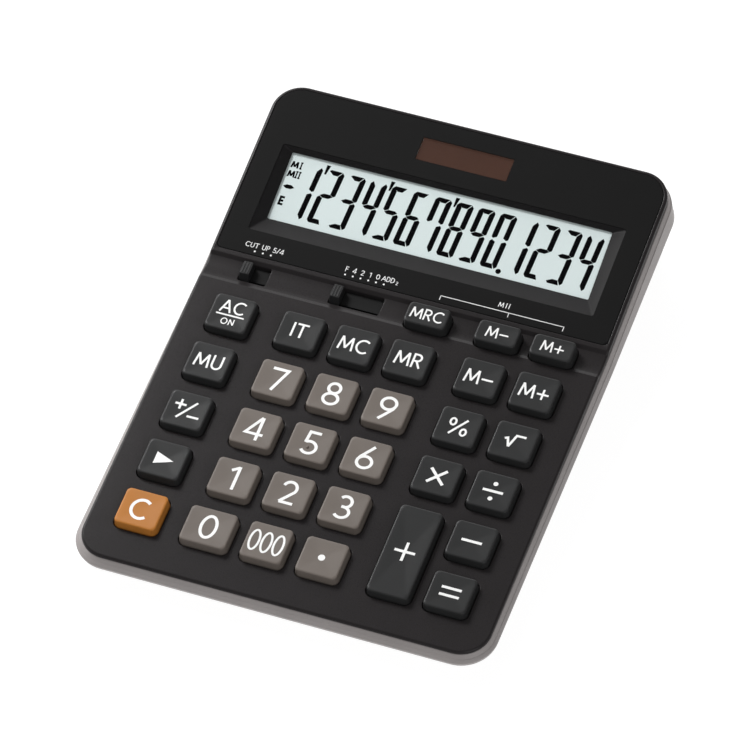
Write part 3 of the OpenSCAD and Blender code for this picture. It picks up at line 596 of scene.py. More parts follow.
def upper_case():
    s = Solid()
    plan = case_plan(SEAM_INSET + EDGE_ROUND)
    grow = 2 * (SKIRT + KEY_GAP)
    holes = [
        rounded_rect(w + grow, (d + grow) * math.cos(DECK_TILT), KEY_HOLE_R, x, y)
        for x, y, w, d in KEYS.values()
    ]
    wells = []
    for x, travel in SWITCHES.values():
        wells.append((KNOB_W + travel + 0.6, x + travel / 2))
        holes.append(rounded_rect(wells[-1][0], WELL_D, 0.6, wells[-1][1], SWITCH_Y, 3))
    holes.append(plate_plan(-0.08))
    roll = []
    for k in range(1, 6):
        a = math.pi / 2 * k / 5
        roll.append((EDGE_ROUND * (1 - math.sin(a)), EDGE_ROUND * (1 - math.cos(a))))
    rim = [(plan, lambda x, y: top_z(y))]
    for inset, drop in roll:
        rim.append((case_plan(SEAM_INSET + 0.05 + inset), lambda x, y, drop=drop: top_z(y) - drop))
    rim += [
        (case_plan(SEAM_INSET + 0.05), lambda x, y: seam_z(y) + 0.12),
        (case_plan(SEAM_INSET + 0.15), lambda x, y: seam_z(y) + 0.03),
        (case_plan(CASE_INSET), lambda x, y: seam_z(y) + 0.03),
        (case_plan(CASE_INSET), lambda x, y: ceiling_z(y) - 0.6),
        (case_plan(CASE_INSET + 0.6), lambda x, y: ceiling_z(y)),
    ]
    shell(s, plan, holes, lambda x, y: top_z(y), lambda x, y: ceiling_z(y), rim, cove_cuts(plan), 0.28)
    # ledge under the panel plate
    seat = plate_plan(-0.6)
    seat_top = lambda x, y: panel_z(y) - PANEL_T - 0.1
    seat_low = lambda x, y: panel_z(y) - WALL - 0.3
    openings = [
        rounded_rect(RECESS_W + 2.8, RECESS_D + 2.8, 2, 0, RECESS_Y),
        rounded_rect(SOLAR_W + 1.2, SOLAR_D + 1, 0.5, 0, SOLAR_Y, 3),
    ]
    shell(s, seat, openings, seat_top, seat_low, [(seat, seat_top), (seat, seat_low)], edge=0.1, edge_steps=1)
    # floors of the switch wells, each with its slit, in a darker black that is painted shade for the shadow
    # in the wells
    well_top = lambda x, y: WELL_FLOOR
    well_low = lambda x, y: WELL_FLOOR - 1.1
    first_floor_face = len(s.faces)
    for w, x in wells:
        start = len(s.points)
        floor = rounded_rect(w + 3, WELL_D + 3, 0.8, 0, 0, 3)
        slit = rounded_rect(w - 1.2, SLIT_D, 0.3, 0, SLIT_Y, 3)
        border = [(floor, well_top), (floor, well_low)]
        shell(s, floor, [slit], well_top, well_low, border, edge=0.1, edge_steps=1)
        s.place(on_deck(x, SWITCH_Y), start)
    s.painted.append((first_floor_face, len(s.faces), WELL_PAINTED_SHADE))
    s.piece("upper_case_moulding", CASE, BLACK, ["upper_case"])


def lower_case():
    s = Solid()
    plan = case_plan(7.2)
    flat = lambda x, y: GROUND_GAP
    floor = lambda x, y: GROUND_GAP + WALL
    cover = battery_place()
    holes = [rounded_rect(cover[2] + 0.4, cover[3] + 0.4, 1.1, cover[0], cover[1])]
    holes += [circle(2.5, x, y) for x, y, _ in CASE_SCREWS]
    rim = [(plan, flat)]
    for inset, z in ((6.4, 0.32), (5.9, 0.75), (5.6, 1.2)):
        rim.append((case_plan(inset), lambda x, y, z=z: GROUND_GAP + z))
    rim += [
        (case_plan(0.42), lambda x, y: widest_z(y) - 1.35),
        (case_plan(0.14), lambda x, y: widest_z(y) - 0.55),
        (case_plan(0.02), lambda x, y: widest_z(y) - 0.1),
        (case_plan(0), lambda x, y: widest_z(y) + 0.1),
        (case_plan(0.1), lambda x, y: widest_z(y) + 0.45),
        (case_plan(0.82), lambda x, y: ridge_z(y) - 0.1),
        (case_plan(0.86), lambda x, y: ridge_z(y) - 0.04),
        (case_plan(1.1), lambda x, y: ridge_z(y) + 0.03),
        (case_plan(1.15), lambda x, y: ridge_z(y) + 0.09),
        (case_plan(1.95), lambda x, y: seam_z(y) - 0.3),
        (case_plan(2.12), lambda x, y: seam_z(y) - 0.1),
        (case_plan(2.3), lambda x, y: seam_z(y) - 0.03),
        (case_plan(CASE_INSET), lambda x, y: seam_z(y) - 0.03),
        (case_plan(CASE_INSET - 0.2), lambda x, y: seam_z(y) - 2),
        (case_plan(3.2), lambda x, y: widest_z(y)),
        (case_plan(7.4), lambda x, y: GROUND_GAP + WALL + 1),
        (case_plan(9), floor),
    ]
    shell(s, plan, holes, flat, floor, rim, edge=0.2, edge_steps=2)
    for x, y, joint in CASE_SCREWS:
        seat, top = joint - HEAD_SEAT, joint - 0.05
        s.ring([(3.6, 1.2), (3.6, top), (1.4, top), (1.4, seat), (2.5, seat), (2.5, 1.2)], x, y)
    s.piece("lower_case_moulding", CASE, TAUPE, ["lower_case"])


def battery_place():
    low, high = (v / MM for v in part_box("battery_cover"))
    return (low.x + high.x) / 2, (low.y + high.y) / 2, high.x - low.x, high.y - low.y


# Case screws: x, y and the height of the joint between boss and post.
CASE_SCREWS = [
    (62, -94.2, 5.7), (-62, -94.2, 5.7), (23, -50, 8), (-44.05, -50, 8), (63.5, 88, 15), (-63.5, 88, 15),
]
HEAD_SEAT = 2.6
FEET = [(61, -81), (-61, -81), (61, 72), (-61, 72)]


def feet():
    s = Solid()
    profile = [(3.7, 0), (4.0, 0.0), (4.25, 0.1), (4.4, 0.3), (4.5, GROUND_GAP), (4.5, GROUND_GAP + 0.4)]
    for x, y in FEET:
        s.turned(profile, x, y, 40)
    s.piece("rubber_feet_pads", CASE, RUBBER, ["rubber_feet"])


def battery_cover():
    s = Solid()
    x, y, w, d = battery_place()
    screw_x = (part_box("battery_cover_screw")[0].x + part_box("battery_cover_screw")[1].x) / 2 / MM
    plan = rounded_rect(w, d, 1, x, y)
    flat = lambda x, y: GROUND_GAP
    top = lambda x, y: GROUND_GAP + 1.6
    inner = rounded_rect(w - 0.3, d - 0.3, 0.9, x, y)
    grips = [rounded_rect(0.8, 10, 0.35, x - 14 + 1.6 * i, y, 3) for i in range(4)]
    holes = [circle(2.4, screw_x, y), *grips]
    rim = [(inner, flat), (plan, lambda x, y: GROUND_GAP + 0.15), (plan, top)]
    shell(s, inner, holes, flat, top, rim, edge=0.1)
    s.prism(rounded_rect(7, 11, 0.4, x - 11.6, y, 3), GROUND_GAP + 0.4, GROUND_GAP + 1.5)
    s.ring([(1.3, 1.7), (2.45, 1.7), (2.45, 2.35), (1.3, 2.35)], screw_x, y)
    s.piece("battery_cover_moulding", CASE, TAUPE, ["battery_cover"])


# ---------------------------------------------------------------- display
def display_panel():
    s = Solid()
    plan = plate_plan(0.25)
    top = lambda x, y: panel_z(y)
    low = lambda x, y: panel_z(y) - PANEL_T
    holes = [
        rounded_rect(RECESS_W, RECESS_D, 0.9, 0, RECESS_Y),
        rounded_rect(SOLAR_W, SOLAR_D * math.cos(PANEL_TILT), 0.3, 0, SOLAR_Y, 3),
    ]
    rim = [
        (plan, top), (plate_plan(0.1), lambda x, y: panel_z(y) - 0.06),
        (plate_plan(0.02), lambda x, y: panel_z(y) - 0.2), (plate_plan(0.0), low),
    ]
    shell(s, plan, holes, top, low, rim, edge=0.12, edge_steps=2)
    s.piece("display_panel_plate", CASE, PANEL, ["display_panel"])


def display_bezel():
    """Funnel from the opening in the panel down to the display."""
    s = Solid()

    def on_plate(grow, r, drop):
        plan = rounded_rect(RECESS_W + grow, RECESS_D + grow, r, 0, RECESS_Y)
        return [(x, y, panel_z(y) - drop) for x, y in plan]

    def on_glass(grow, r, lift):
        plan = rounded_rect(LCD_W + grow, LCD_D + grow, r, VIEW_X)
        return [tuple(ON_LCD @ Vector((x, y, lift))) for x, y in plan]

    def part_way(t):
        """Ring part of the way down the funnel."""
        a, b = on_plate(-0.3, 0.8, 0.3), on_glass(0, 0.5, 0)
        return [tuple(Vector(p).lerp(Vector(q), t)) for p, q in zip(a, b)]

    s.tube([
        on_plate(2.6, 2, 5.5), on_plate(2.6, 2, 1.06), on_plate(-0.06, 0.9, 1.06), on_plate(-0.06, 0.9, 0.32),
        on_plate(-0.14, 0.85, 0.27), *(part_way(t) for t in (0.02, 0.06, 0.35, 0.65, 0.94, 0.985)),
        on_glass(0, 0.5, -0.02), on_glass(0.6, 0.6, -0.03), on_glass(2.5, 2, -0.03),
    ])
    s.piece("display_bezel_funnel", CASE, BEZEL, ["lcd_bezel"], sharp=30)


DIGIT_PITCH = 8.21
DIGIT_SLANT = 0.056
FIRST_DIGIT_X = -51.97
SEGMENTS = {
    "a": [(-2.75, 10.5), (-2.1, 11.0), (2.15, 10.95), (0.9, 9.1), (-0.9, 9.1)],
    "b": [(1.15, 9.05), (2.35, 10.8), (3.15, 9.9), (3.15, 1.2), (2.45, 0.7), (1.15, 1.45)],
    "c": [(1.15, -0.6), (2.45, 0.15), (3.15, -0.5), (3.15, -10.0), (2.35, -10.9), (1.15, -9.1)],
    "d": [(-2.85, -10.15), (-2.2, -10.95), (1.95, -11.0), (1.1, -9.15), (-0.9, -9.1)],
    "g": [(-2.5, 0.4), (-1.1, 1.3), (1.3, 1.3), (2.4, 0.6), (1.0, -0.4), (-1.35, -0.4)],
}
SEGMENTS["f"] = [(-x, y) for x, y in SEGMENTS["b"]]
SEGMENTS["e"] = [(-x, y) for x, y in SEGMENTS["c"]]
LIT = {
    "0": "abcdef", "1": "bc", "2": "abged", "3": "abgcd", "4": "fgbc", "5": "afgcd", "6": "afgcde",
    "7": "fabc", "8": "abcdefg", "9": "abcdfg",
}


def slanted(points, x=0.0):
    return [(x + px + DIGIT_SLANT * py, py) for px, py in points]


def display():
    """Face of the cell, its lit segments and marks, and the clear window."""
    face = Solid()
    face.block(126, 30.4, -1.8, -0.68, r=0.5)
    face.block(126, 28, -2.9, -1.82, cy=1.2, r=0.5)
    face.place(ON_LCD)
    face.piece("display_cell_glass", CASE, LCD_FACE, ["lcd_cell"])
    ink = Solid()
    low, high = -0.70, -0.655
    for place, digit in enumerate("12345678901234"):
        x = FIRST_DIGIT_X + DIGIT_PITCH * place
        for key in LIT[digit]:
            ink.prism(slanted(SEGMENTS[key], x), low, high)
    for group in (0, 3, 6):
        x = FIRST_DIGIT_X + DIGIT_PITCH * (group + 0.5) + 0.35
        ink.prism(slanted([(-0.45, 8.65), (0.2, 8.65), (0.8, 12.45), (-0.72, 12.45)], x), low, high)
    ink.prism(circle(1.0, FIRST_DIGIT_X + DIGIT_PITCH * 9.5 - 0.4, -11.4), low, high)
    minus = [(-2.2, 0.5), (-0.9, 1.3), (0.9, 1.3), (2.2, 0.5), (0.9, -0.25), (-0.9, -0.25)]
    ink.prism(slanted(minus, -58.2), low, high)
    marks = (
        ("M", -58.85, 9.6, 2.7), ("I", -56.55, 9.6, 2.7), ("M", -59.0, 5.8, 2.7), ("II", -56.5, 5.8, 2.7),
        ("E", -58.75, -5.4, 3.2),
    )
    for text, x, y, size in marks:
        bars = text in ("I", "II")
        thick = 0.85 if text == "E" else 0.5 if bars else 0.68
        letters(ink, text, size, thick, x, y, lambda x, y: high - 0.02, 0.02, 0.3 if bars else 0.12, bars)
    ink.place(ON_LCD)
    ink.piece("display_segments_lit", CASE, LCD_INK)
    glass = Solid()
    glass.block(128, 31, -0.64, -0.04, edge=0.1, r=0.5)
    glass.place(ON_LCD)
    glass.piece("display_window_pane", CASE, WINDOW, ["lcd_window"])


def solar():
    s = Solid()
    s.block(SOLAR_W - 0.2, SOLAR_D - 0.2, -PANEL_T, -0.12, edge=0.1, r=0.3)
    s.place(on_panel(0, SOLAR_Y))
    s.piece("solar_window_pane", CASE, TINT, ["solar_window"])


# ---------------------------------------------------------------- lettering: strokes on a cap height of 1
# A path is split in two where the cosine of its turn is below this.
SHARP_TURN = -0.6


def glyph(char):
    """(strokes, width). Each stroke is a list of points along its middle."""
    e = 0.06
    bowl = [(0.52, 1.0), (0.3, 0.72), (0.13, 0.5), (0.075, 0.36)]
    six = [bowl[:-1] + arc(0.335, 0.3, 0.27, 0.245, 160, 160 + 360, 10)]
    table = {
        "0": ([arc(0.33, 0.5, 0.27, 0.445, 90, 450, 10)[:-1] + ["closed"]], 0.66),
        "1": ([[(0.03, 0.79), (0.3, 0.965)], [(0.3, 1.0), (0.3, 0.0)]], 0.40),
        "2": ([arc(0.31, 0.69, 0.25, 0.255, 165, -32, 10) + [(0.10, 0.055), (0.62, 0.055)]], 0.64),
        "3": ([arc(0.28, 0.725, 0.225, 0.22, 145, -90, 10)[:-1] + [(0.27, 0.515), (0.19, 0.515)],
               [(0.19, 0.515)] + arc(0.27, 0.285, 0.265, 0.23, 90, -145, 10)], 0.60),
        "4": ([[(0.50, 1.0), (0.055, 0.27), (0.72, 0.27)], [(0.52, 1.0), (0.52, 0.0)]], 0.74),
        "5": ([[(0.56, 0.945), (0.155, 0.945), (0.115, 0.545)]
               + arc(0.285, 0.31, 0.275, 0.255, 118, -148, 10)], 0.60),
        "6": (six, 0.66),
        "7": ([[(0.01, 0.945), (0.60, 0.945), (0.22, 0.0)]], 0.64),
        "8": ([arc(0.33, 0.74, 0.215, 0.205, 90, 450, 10)[:-1] + ["closed"],
               arc(0.33, 0.285, 0.27, 0.23, 90, 450, 10)[:-1] + ["closed"]], 0.66),
        "9": ([[(0.66 - x, 1 - y) for x, y in six[0]]], 0.66),
        "A": ([[(0.015, 0.0), (0.37, 0.97), (0.725, 0.0)], [(0.15, 0.33), (0.59, 0.33)]], 0.74),
        "C": ([arc(0.47, 0.5, 0.41, 0.445, 48, 312, 9)], 0.80),
        "D": ([[(e, 0.055), (e, 0.945), (0.26, 0.945)]
               + arc(0.26, 0.5, 0.36, 0.445, 90, -90, 12)[1:] + [(e, 0.055)]], 0.68),
        "E": ([[(0.52, 0.945), (e, 0.945), (e, 0.055), (0.52, 0.055)], [(e, 0.5), (0.47, 0.5)]], 0.56),
        "F": ([[(0.50, 0.945), (e, 0.945), (e, 0.0)], [(e, 0.5), (0.45, 0.5)]], 0.52),
        "I": ([[(e, 1.0), (e, 0.0)]], 0.12),
        "M": ([[(0.03, 0.0), (0.135, 0.93), (0.445, 0.14), (0.755, 0.93), (0.86, 0.0)]], 0.89),
        "N": ([[(e, 0.0), (e, 0.93), (0.64, 0.07), (0.64, 1.0)]], 0.70),
        "O": ([arc(0.45, 0.5, 0.39, 0.445, 90, 450, 9)[:-1] + ["closed"]], 0.90),
        "P": ([[(e, 0.0), (e, 0.945), (0.28, 0.945)]
               + arc(0.28, 0.70, 0.23, 0.245, 90, -90, 12)[1:] + [(e, 0.455)]], 0.56),
        "R": ([[(e, 0.0), (e, 0.945), (0.28, 0.945)]
               + arc(0.28, 0.715, 0.23, 0.23, 90, -90, 12)[1:] + [(e, 0.485)],
               [(0.27, 0.485), (0.56, 0.0)]], 0.60),
        "T": ([[(0.0, 0.945), (0.70, 0.945)], [(0.35, 0.945), (0.35, 0.0)]], 0.70),
        "U": ([[(e, 1.0)] + arc(0.34, 0.34, 0.28, 0.285, 180, 360, 12) + [(0.62, 1.0)]], 0.68),
        "+": ([[(0.02, 0.42), (0.74, 0.42)], [(0.38, 0.78), (0.38, 0.06)]], 0.76),
        "-": ([[(0.0, 0.42), (0.70, 0.42)]], 0.70),
        "/": ([[(0.0, -0.03), (0.42, 1.03)]], 0.42),
        " ": ([], 0.34),
    }
    return table[char]


def ribbon(solid, path, thick, surface, lift):
    """Flat stroke of constant width along a path, as closed solids on surface(x, y)."""
    closed = path[-1] == "closed"
    points = [Vector(p) for p in (path[:-1] if closed else path)]
    n = len(points)
    for i in range(1, 1 if closed else n - 1):
        before, after = points[i] - points[i - 1], points[i + 1] - points[i]
        if before.normalized().dot(after.normalized()) < SHARP_TURN:
            ribbon(solid, path[: i + 1], thick, surface, lift)
            ribbon(solid, path[i:], thick, surface, lift + 0.002)
            return
    left, right = [], []
    for i, p in enumerate(points):
        before = points[i - 1] if i or closed else None
        after = points[(i + 1) % n] if i < n - 1 or closed else None
        ways = [(b - a).normalized() for a, b in ((before, p), (p, after)) if a is not None and b is not None]
        way = sum(ways, Vector((0.0, 0.0))).normalized()
        stretch = 1 / max(0.55, way.dot(ways[0]))
        side = Vector((-way.y, way.x)) * thick / 2 * stretch
        left.append(p + side)
        right.append(p - side)
    ll, rr = (
        solid.add((q.x, q.y, surface(q.x, q.y) + z) for q in points for z in (-MARK_SINK, lift))
        for points in (left, right)
    )
    for i in range(n if closed else n - 1):
        j = (i + 1) % n
        corners = [(ll[2 * k], ll[2 * k + 1], rr[2 * k + 1], rr[2 * k]) for k in (i, j)]
        for a in range(4):
            b = (a + 1) % 4
            solid.faces.append((corners[0][a], corners[0][b], corners[1][b], corners[1][a]))
    if not closed:
        for k in (0, n - 1):
            solid.faces.append((ll[2 * k], ll[2 * k + 1], rr[2 * k + 1], rr[2 * k]))


def letters(solid, text, height, thick, cx, cy, surface, lift, tracking=0.12, serif=False):
    """Text centred on (cx, cy)."""
    shapes = [glyph(c) for c in text]
    total = sum(w for _, w in shapes) + tracking * (len(text) - 1)
    x = cx - total * height / 2
    step = 0
    for strokes, width in shapes:
        if serif:
            strokes = strokes + [[(-0.1, 0.955), (0.22, 0.955)], [(-0.1, 0.045), (0.22, 0.045)]]
        for stroke in strokes:
            path = [p if p == "closed" else (x + p[0] * height, cy + (p[1] - 0.5) * height) for p in stroke]
            ribbon(solid, path, thick, surface, lift + 0.004 * step)
            step += 1
        x += (width + tracking) * height


# ---------------------------------------------------------------- keys
# Place of the raised dot on the 5.
PIP_X, PIP_Y = -0.5, -1.9


def key_surface(w, d, h):
    """Height of a key's slightly hollow top."""
    half_w, half_d = (w - 2 * KEY_ROUND) / 2 + 0.1, (d - 2 * KEY_ROUND) / 2 + 0.1

    def surface(x, y):
        u, v = min(1, abs(x / half_w)), min(1, abs(y / half_d))
        return h - KEY_DISH * (1 - u**2) * (1 - v**2)

    return surface


def key_cap(node, look):
    s = Solid()
    x, y, w, d = KEYS[node]
    cove = "second" in node
    h = COVE_KEY_H if cove else KEY_H
    flange_top = COVE_FLANGE_TOP if cove else DECK_FLANGE_TOP
    surface = key_surface(w, d, h)
    lip = 2 * FLANGE_LIP

    def ring(grow, r, z):
        return [(px, py, z) for px, py in rounded_rect(w + grow, d + grow, r, steps=6)]

    base = 2 * SKIRT
    rings = [
        ring(base + lip - 0.2, 0.9, flange_top - FLANGE_T), ring(base + lip, 1, flange_top - FLANGE_T + 0.1),
        ring(base + lip, 1, flange_top - 0.1), ring(base + lip - 0.2, 0.9, flange_top),
        ring(base, KEY_BASE_R, flange_top), ring(base, KEY_BASE_R, -0.35), ring(base - 0.02, KEY_BASE_R, 0.0),
        ring(base * 0.55, KEY_MIDDLE_R, (h - KEY_ROUND) * 0.5), ring(0.1, KEY_TOP_R, h - KEY_ROUND),
    ]
    for inset, drop in ((0.03, 0.30), (0.1, 0.19), (0.2, 0.12), (0.42, 0.035), (0.52, 0.0)):
        rings.append(ring(0.1 - 2 * inset, KEY_TOP_R - 0.6 * inset, h - drop))
    inner = rings[-1]
    for share in (0.93, 0.82, 0.66, 0.48, 0.3, 0.12):
        rings.append([(px * share, py * share, surface(px * share, py * share)) for px, py, _ in inner])
    s.loft(rings)
    s.block(3.6, 3.6, DOME_TOP + 0.02, flange_top - FLANGE_T + 0.2, r=0.5)
    if node == "key_5":
        pip = [(0.6, -0.05), (0.58, 0.1), (0.5, 0.25), (0.36, 0.36), (0.14, 0.42)]
        s.turned([(r, surface(PIP_X, PIP_Y) + z) for r, z in pip], PIP_X, PIP_Y, 20)
    s.place(on_deck(x, y))
    s.piece(node + "_cap", node + "_body", look, [node])
    mark = Solid()
    key_legend(mark, node, surface)
    mark.place(on_deck(x, y))
    mark.piece(node + "_legend", node + "_body", LEGEND, sharp=50)


LEGENDS = {
    "key_second_memory_recall": "MRC", "key_second_memory_minus": "M-", "key_second_memory_plus": "M+",
    "key_item_count": "IT", "key_memory_clear": "MC", "key_memory_recall": "MR", "key_memory_minus": "M-",
    "key_memory_plus": "M+", "key_mark_up": "MU", "key_clear": "C",
}
LIFT = 0.035


def key_legend(s, node, surface):
    """White symbol let into the top of a key."""
    def stroke(points, thick=1.0):
        ribbon(s, points, thick, surface, LIFT + 0.003 * (len(s.faces) % 7))

    def dot(x, y, r):
        s.prism_on(circle(r, x, y, 24), surface, LIFT)

    name = node[4:]
    if name.isdigit() and len(name) == 1:
        letters(s, name, 9.9 if name in "035689" else 9.7, 1.12, 0, 0.05, surface, LIFT)
    elif name == "000":
        for i in (-1, 0, 1):
            ring = arc(4.4 * i, 0, 1.65, 4.03, 90, 450, 10)[:-1]
            stroke(ring + ["closed"], 0.8)
    elif name == "all_clear":
        letters(s, "AC", 5.4, 0.68, 0, 2.75, surface, LIFT)
        stroke([(-5.25, -0.95), (5.25, -0.95)], 0.62)
        letters(s, "ON", 2.7, 0.4, 0, -3.6, surface, LIFT, tracking=0.2)
    elif name == "clear":
        letters(s, "C", 8.6, 1.16, -0.6, -0.15, surface, LIFT)
    elif node in LEGENDS:
        size = 4.7 if "second" in node else 6.0
        y = 0.25 if "second" in node else 0.3
        letters(s, LEGENDS[node], size, size * 0.126, 0, y, surface, LIFT, tracking=0.13)
    elif name == "percent":
        stroke([(-2.6, -3.4), (2.6, 3.5)], 0.8)
        for sx in (-1, 1):
            stroke(arc(sx * 2.35, -sx * 1.75, 1.0, 1.35, 90, 450, 15)[:-1] + ["closed"], 0.75)
    elif name == "root":
        stroke([(-3.5, 0.5), (-2.5, 1.0), (-1.35, -2.5), (0.3, 2.55), (3.75, 2.55)], 0.85)
    elif name == "sign":
        stroke([(-2.7, -3.7), (2.9, 3.9)], 0.8)
        stroke([(-4.9, 1.95), (-0.75, 1.95)], 0.85)
        stroke([(-2.83, 4.0), (-2.83, -0.1)], 0.85)
        stroke([(0.9, -2.3), (5.3, -2.3)], 0.85)
    elif name == "times":
        for sy in (-1, 1):
            stroke([(-2.95, -2.95 * sy), (2.95, 2.95 * sy)], 1.05)
    elif name == "divide":
        stroke([(-3.7, 0), (3.7, 0)], 1.0)
        for sy in (-1, 1):
            dot(0, 3.1 * sy, 0.85)
    elif name == "shift":
        s.prism_on([(-3.3, 2.5), (-3.3, -2.5), (3.5, 0)], surface, LIFT)
    elif name == "plus":
        stroke([(-3.75, 0), (3.75, 0)], 1.0)
        stroke([(0, 3.85), (0, -3.85)], 1.0)
    elif name == "minus":
        stroke([(-3.7, 0), (3.7, 0)], 1.0)
    elif name == "point":
        dot(-0.2, 0, 1.25)
    elif name == "equals":
        for sy in (-1, 1):
            stroke([(-3.6, 1.5 * sy), (3.6, 1.5 * sy)], 1.0)


def keys():
    looks = {"number_key": NUMBER_KEY, "clear_key": CLEAR_KEY, "dark_key": DARK_KEY}
    for entry in frame["record"]["subparts"]:
        if entry["node"] in KEYS:
            key_cap(entry["node"], looks[entry["material_slot"]])


def key_mat():
    """Flat silicone sheet, and one dome under each key, drawn at rest."""
    low, high = (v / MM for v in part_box("key_mat"))
    front, rear = low.y + 0.9, 20.2
    s = Solid()
    plan = rounded_rect(high.x - low.x, (rear - front) / math.cos(DECK_TILT), 2, 0, 0)
    middle = (front + rear) / 2
    holes = []
    for x, y, _, _ in KEYS.values():
        if y < rear - 4:
            holes.append(circle(3.0, x, (y - middle) / math.cos(DECK_TILT), 24))
    for x, y, _ in CASE_SCREWS[2:4]:
        holes.append(circle(4.0, x, (y - middle) / math.cos(DECK_TILT), 24))
    rows = [(plan, lambda x, y: MAT_TOP), (plan, lambda x, y: MAT_BOTTOM)]
    shell(s, plan, holes, rows[0][1], rows[1][1], rows, edge=0.08, edge_steps=1)
    s.place(on_deck(0, middle))
    s.piece("key_mat_sheet", CASE, SILICONE, ["key_mat"])
    for node, (x, y, _, _) in KEYS.items():
        dome = Solid()
        profile = [(3.9, MAT_TOP + 0.02), (3.7, MAT_TOP + 0.3), (2.9, -4.4), (2.6, -3.85), (2.4, DOME_TOP)]
        dome.turned(profile, n=24)
        dome.place(on_deck(x, y))
        made = dome.piece(node + "_dome", CASE, SILICONE)
        anchor = on_deck(x, y) @ Vector((0, 0, MAT_TOP))
        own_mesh(made)


# ---------------------------------------------------------------- switches and printed marks
def knobs():
    """Ribbed knob that leans back towards its top, with its leg and carrier below."""
    for switch, (x, _) in SWITCHES.items():
        s = Solid()
        levels = [
            (0.3, KNOB_FOOT_D, 0, WELL_FLOOR + 0.15), (0, KNOB_FOOT_D, 0, WELL_FLOOR + 0.4),
            (0, KNOB_FOOT_D, 0, WELL_FLOOR + 1), (0.02, KNOB_D + 0.12, KNOB_BACK, KNOB_TOP - 0.5),
            (0.1, KNOB_D - 0.05, KNOB_BACK, KNOB_TOP - 0.2),
            (0.35, KNOB_D - 0.35, KNOB_BACK, KNOB_TOP - 0.04),
            (0.6, KNOB_D - 0.6, KNOB_BACK, KNOB_TOP),
        ]
        s.loft([
            [(px, py, z) for px, py in rounded_rect(KNOB_W - edge, d, 0.5, 0, back, 4)]
            for edge, d, back, z in levels
        ])
        for i in (-1, 0, 1):
            s.block(0.62, KNOB_D - 0.7, 1.0, KNOB_TOP + 0.1, cx=i * 1.05, cy=KNOB_BACK, edge=0.2, r=0.3)
        s.block(2.5, 1.0, -4.4, WELL_FLOOR + 0.5, cy=SLIT_Y, r=0.2)
        s.block(KNOB_W, 4.2, -4.4, WELL_FLOOR - 1.25, cy=SLIT_Y, r=0.3)
        s.place(on_deck(x, SWITCH_Y))
        s.piece(switch + "_knob_grip", switch, KNOB, [switch + "_knob"])


def printed_marks():
    """Scales of the two switches and the bracket that groups the three keys in the hollow."""
    s = Solid()
    flat = lambda x, y: 0.0
    lift = 0.02

    def write(text, x, y, size, tracking=0.14, weight=0.12):
        start = len(s.points)
        letters(s, text, size, size * weight, 0, 0, flat, lift, tracking)
        s.place(on_panel(x, y), start)

    def line(a, b, thick=0.26):
        start = len(s.points)
        ribbon(s, [a, b], thick, flat, lift)
        s.place(on_panel(0, 34.4), start)

    write("CUT UP 5/4", -56.3, 35.4, 2.05)
    for i, text in enumerate("F4210"):
        write(text, DECIMAL_X + DECIMAL_STEP * i, 35.4, 2.05)
    write("ADD", -9.4, 35.4, 2.05, 0.1)
    write("2", -6.0, 34.75, 1.35)
    write("MII", 33.6, 36.9, 2.1, 0.4, 0.14)
    for x, travel, count in ((ROUNDING_X, ROUNDING_STEP, 3), (DECIMAL_X, DECIMAL_STEP, 6)):
        for i in range(count):
            start = len(s.points)
            s.prism(circle(0.36, 0, 0, 16), -MARK_SINK, lift)
            s.place(on_panel(x + travel * i, 33.1), start)
    line((10.6, 0), (56.8, 0))
    for x, top in ((10.73, 0.13), (36.2, 0), (56.67, 0.13)):
        line((x, top), (x, -1.75))
    s.piece("printed_scale_marks", CASE, PRINT, sharp=50)


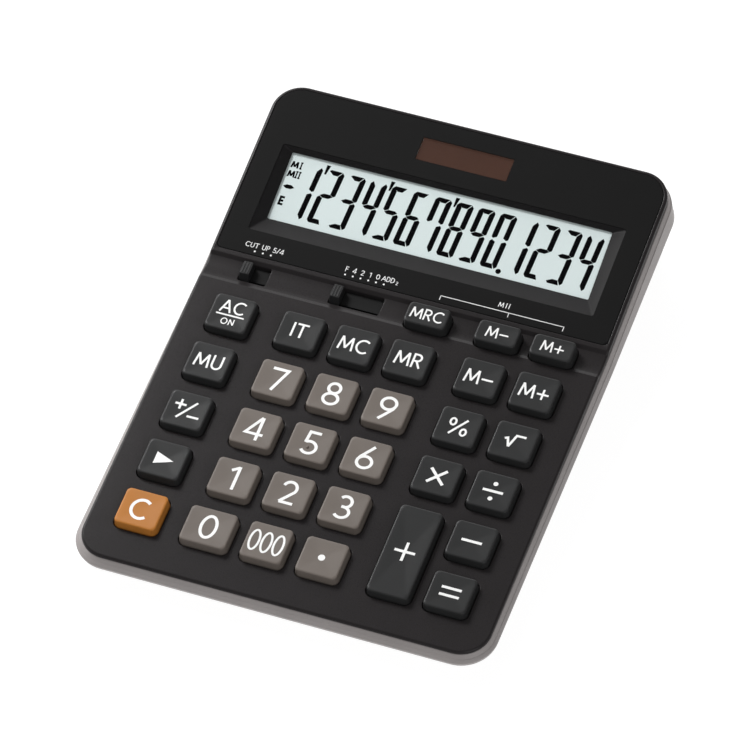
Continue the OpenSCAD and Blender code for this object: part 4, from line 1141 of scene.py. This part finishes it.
# ---------------------------------------------------------------- stage, light and camera
def studio():
    """White paper floor that glows a little, soft lights on three sides and a weaker one in front."""
    scene = bpy.context.scene
    scene.view_settings.view_transform = "Standard"
    floor = Solid()
    floor.prism([(-1600, -1600), (1600, -1600), (1600, 1600), (-1600, 1600)], -20, 0)
    mesh = bpy.data.meshes.new("studio_floor")
    mesh.from_pydata([Vector(p) * MM for p in floor.points], [], floor.faces)
    look = material("studio_floor_paper", (0.2, 0.2, 0.2), 0.9, grain=4, bump=0.02, mottle=0.005)
    shader = look.node_tree.nodes["Principled BSDF"]
    shader.inputs["Emission Color"].default_value = (1, 1, 1, 1)
    shader.inputs["Emission Strength"].default_value = 0.9
    mesh.materials.append(look)
    obj = bpy.data.objects.new("studio_floor", mesh)
    scene.collection.objects.link(obj)
    obj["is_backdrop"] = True
    world = bpy.data.worlds.new("studio")
    scene.world = world
    world.use_nodes = True
    world.node_tree.nodes["Background"].inputs["Color"].default_value = (1, 1, 1, 1)
    world.node_tree.nodes["Background"].inputs["Strength"].default_value = 0.3
    lights = (
        ("key_light", (-0.88, 0.55, 1.00), (0.5, 0.5), 17.5),
        ("rear_card", (-0.67, 1.50, 0.73), (1.3, 1.0), 8.5),
        ("left_card", (-1.80, 0.10, 0.34), (2.8, 0.5), 10.0),
        ("front_fill", (0.85, -0.90, 0.80), (0.9, 0.9), 5.5),
    )
    for name, place, size, power in lights:
        lamp = bpy.data.lights.new(name, "AREA")
        lamp.shape = "RECTANGLE"
        lamp.size, lamp.size_y = size
        lamp.energy = power
        obj = bpy.data.objects.new(name, lamp)
        obj.location = place
        obj.rotation_euler = (Vector((0, 0, 0.02)) - Vector(place)).to_track_quat("-Z", "Y").to_euler()
        scene.collection.objects.link(obj)


def camera():
    """Camera fitted to the outline, the keys and the display. Angles in degrees, lengths in millimetres."""
    az, el, roll = (math.radians(a) for a in (24.0, 50.67, -4.405))
    distance, across, above = 2129.6, 2.27, -9.72
    fit_lift = 0.9
    back = Vector((math.sin(az) * math.cos(el), -math.cos(az) * math.cos(el), math.sin(el)))
    right = Vector((math.cos(az), math.sin(az), 0))
    up = back.cross(right)
    side = math.cos(roll) * right + math.sin(roll) * up
    top = -math.sin(roll) * right + math.cos(roll) * up
    spot = back * distance - side * across - top * above - Vector((0, 0, fit_lift))
    data = bpy.data.cameras.new("camera")
    data.sensor_width = 36
    data.lens = 289.97
    data.clip_start, data.clip_end = 0.1, 20
    obj = bpy.data.objects.new("camera", data)
    obj.matrix_world = Matrix((
        (side.x, top.x, back.x, spot.x * MM),
        (side.y, top.y, back.y, spot.y * MM),
        (side.z, top.z, back.z, spot.z * MM),
        (0, 0, 0, 1),
    ))
    bpy.context.scene.collection.objects.link(obj)
    bpy.context.scene.camera = obj


def repaint_kept_nodes():
    for node, look in KEPT_NODES.items():
        data = frame["nodes"][node].data
        data.materials.clear()
        data.materials.append(look)


repaint_kept_nodes()
upper_case()
lower_case()
feet()
battery_cover()
display_panel()
display_bezel()
display()
solar()
keys()
key_mat()
knobs()
printed_marks()
studio()
camera()

boxes = {"cad": cad_box, "visual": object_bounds()}
{name: [list(corner) for corner in box] for name, box in boxes.items()}
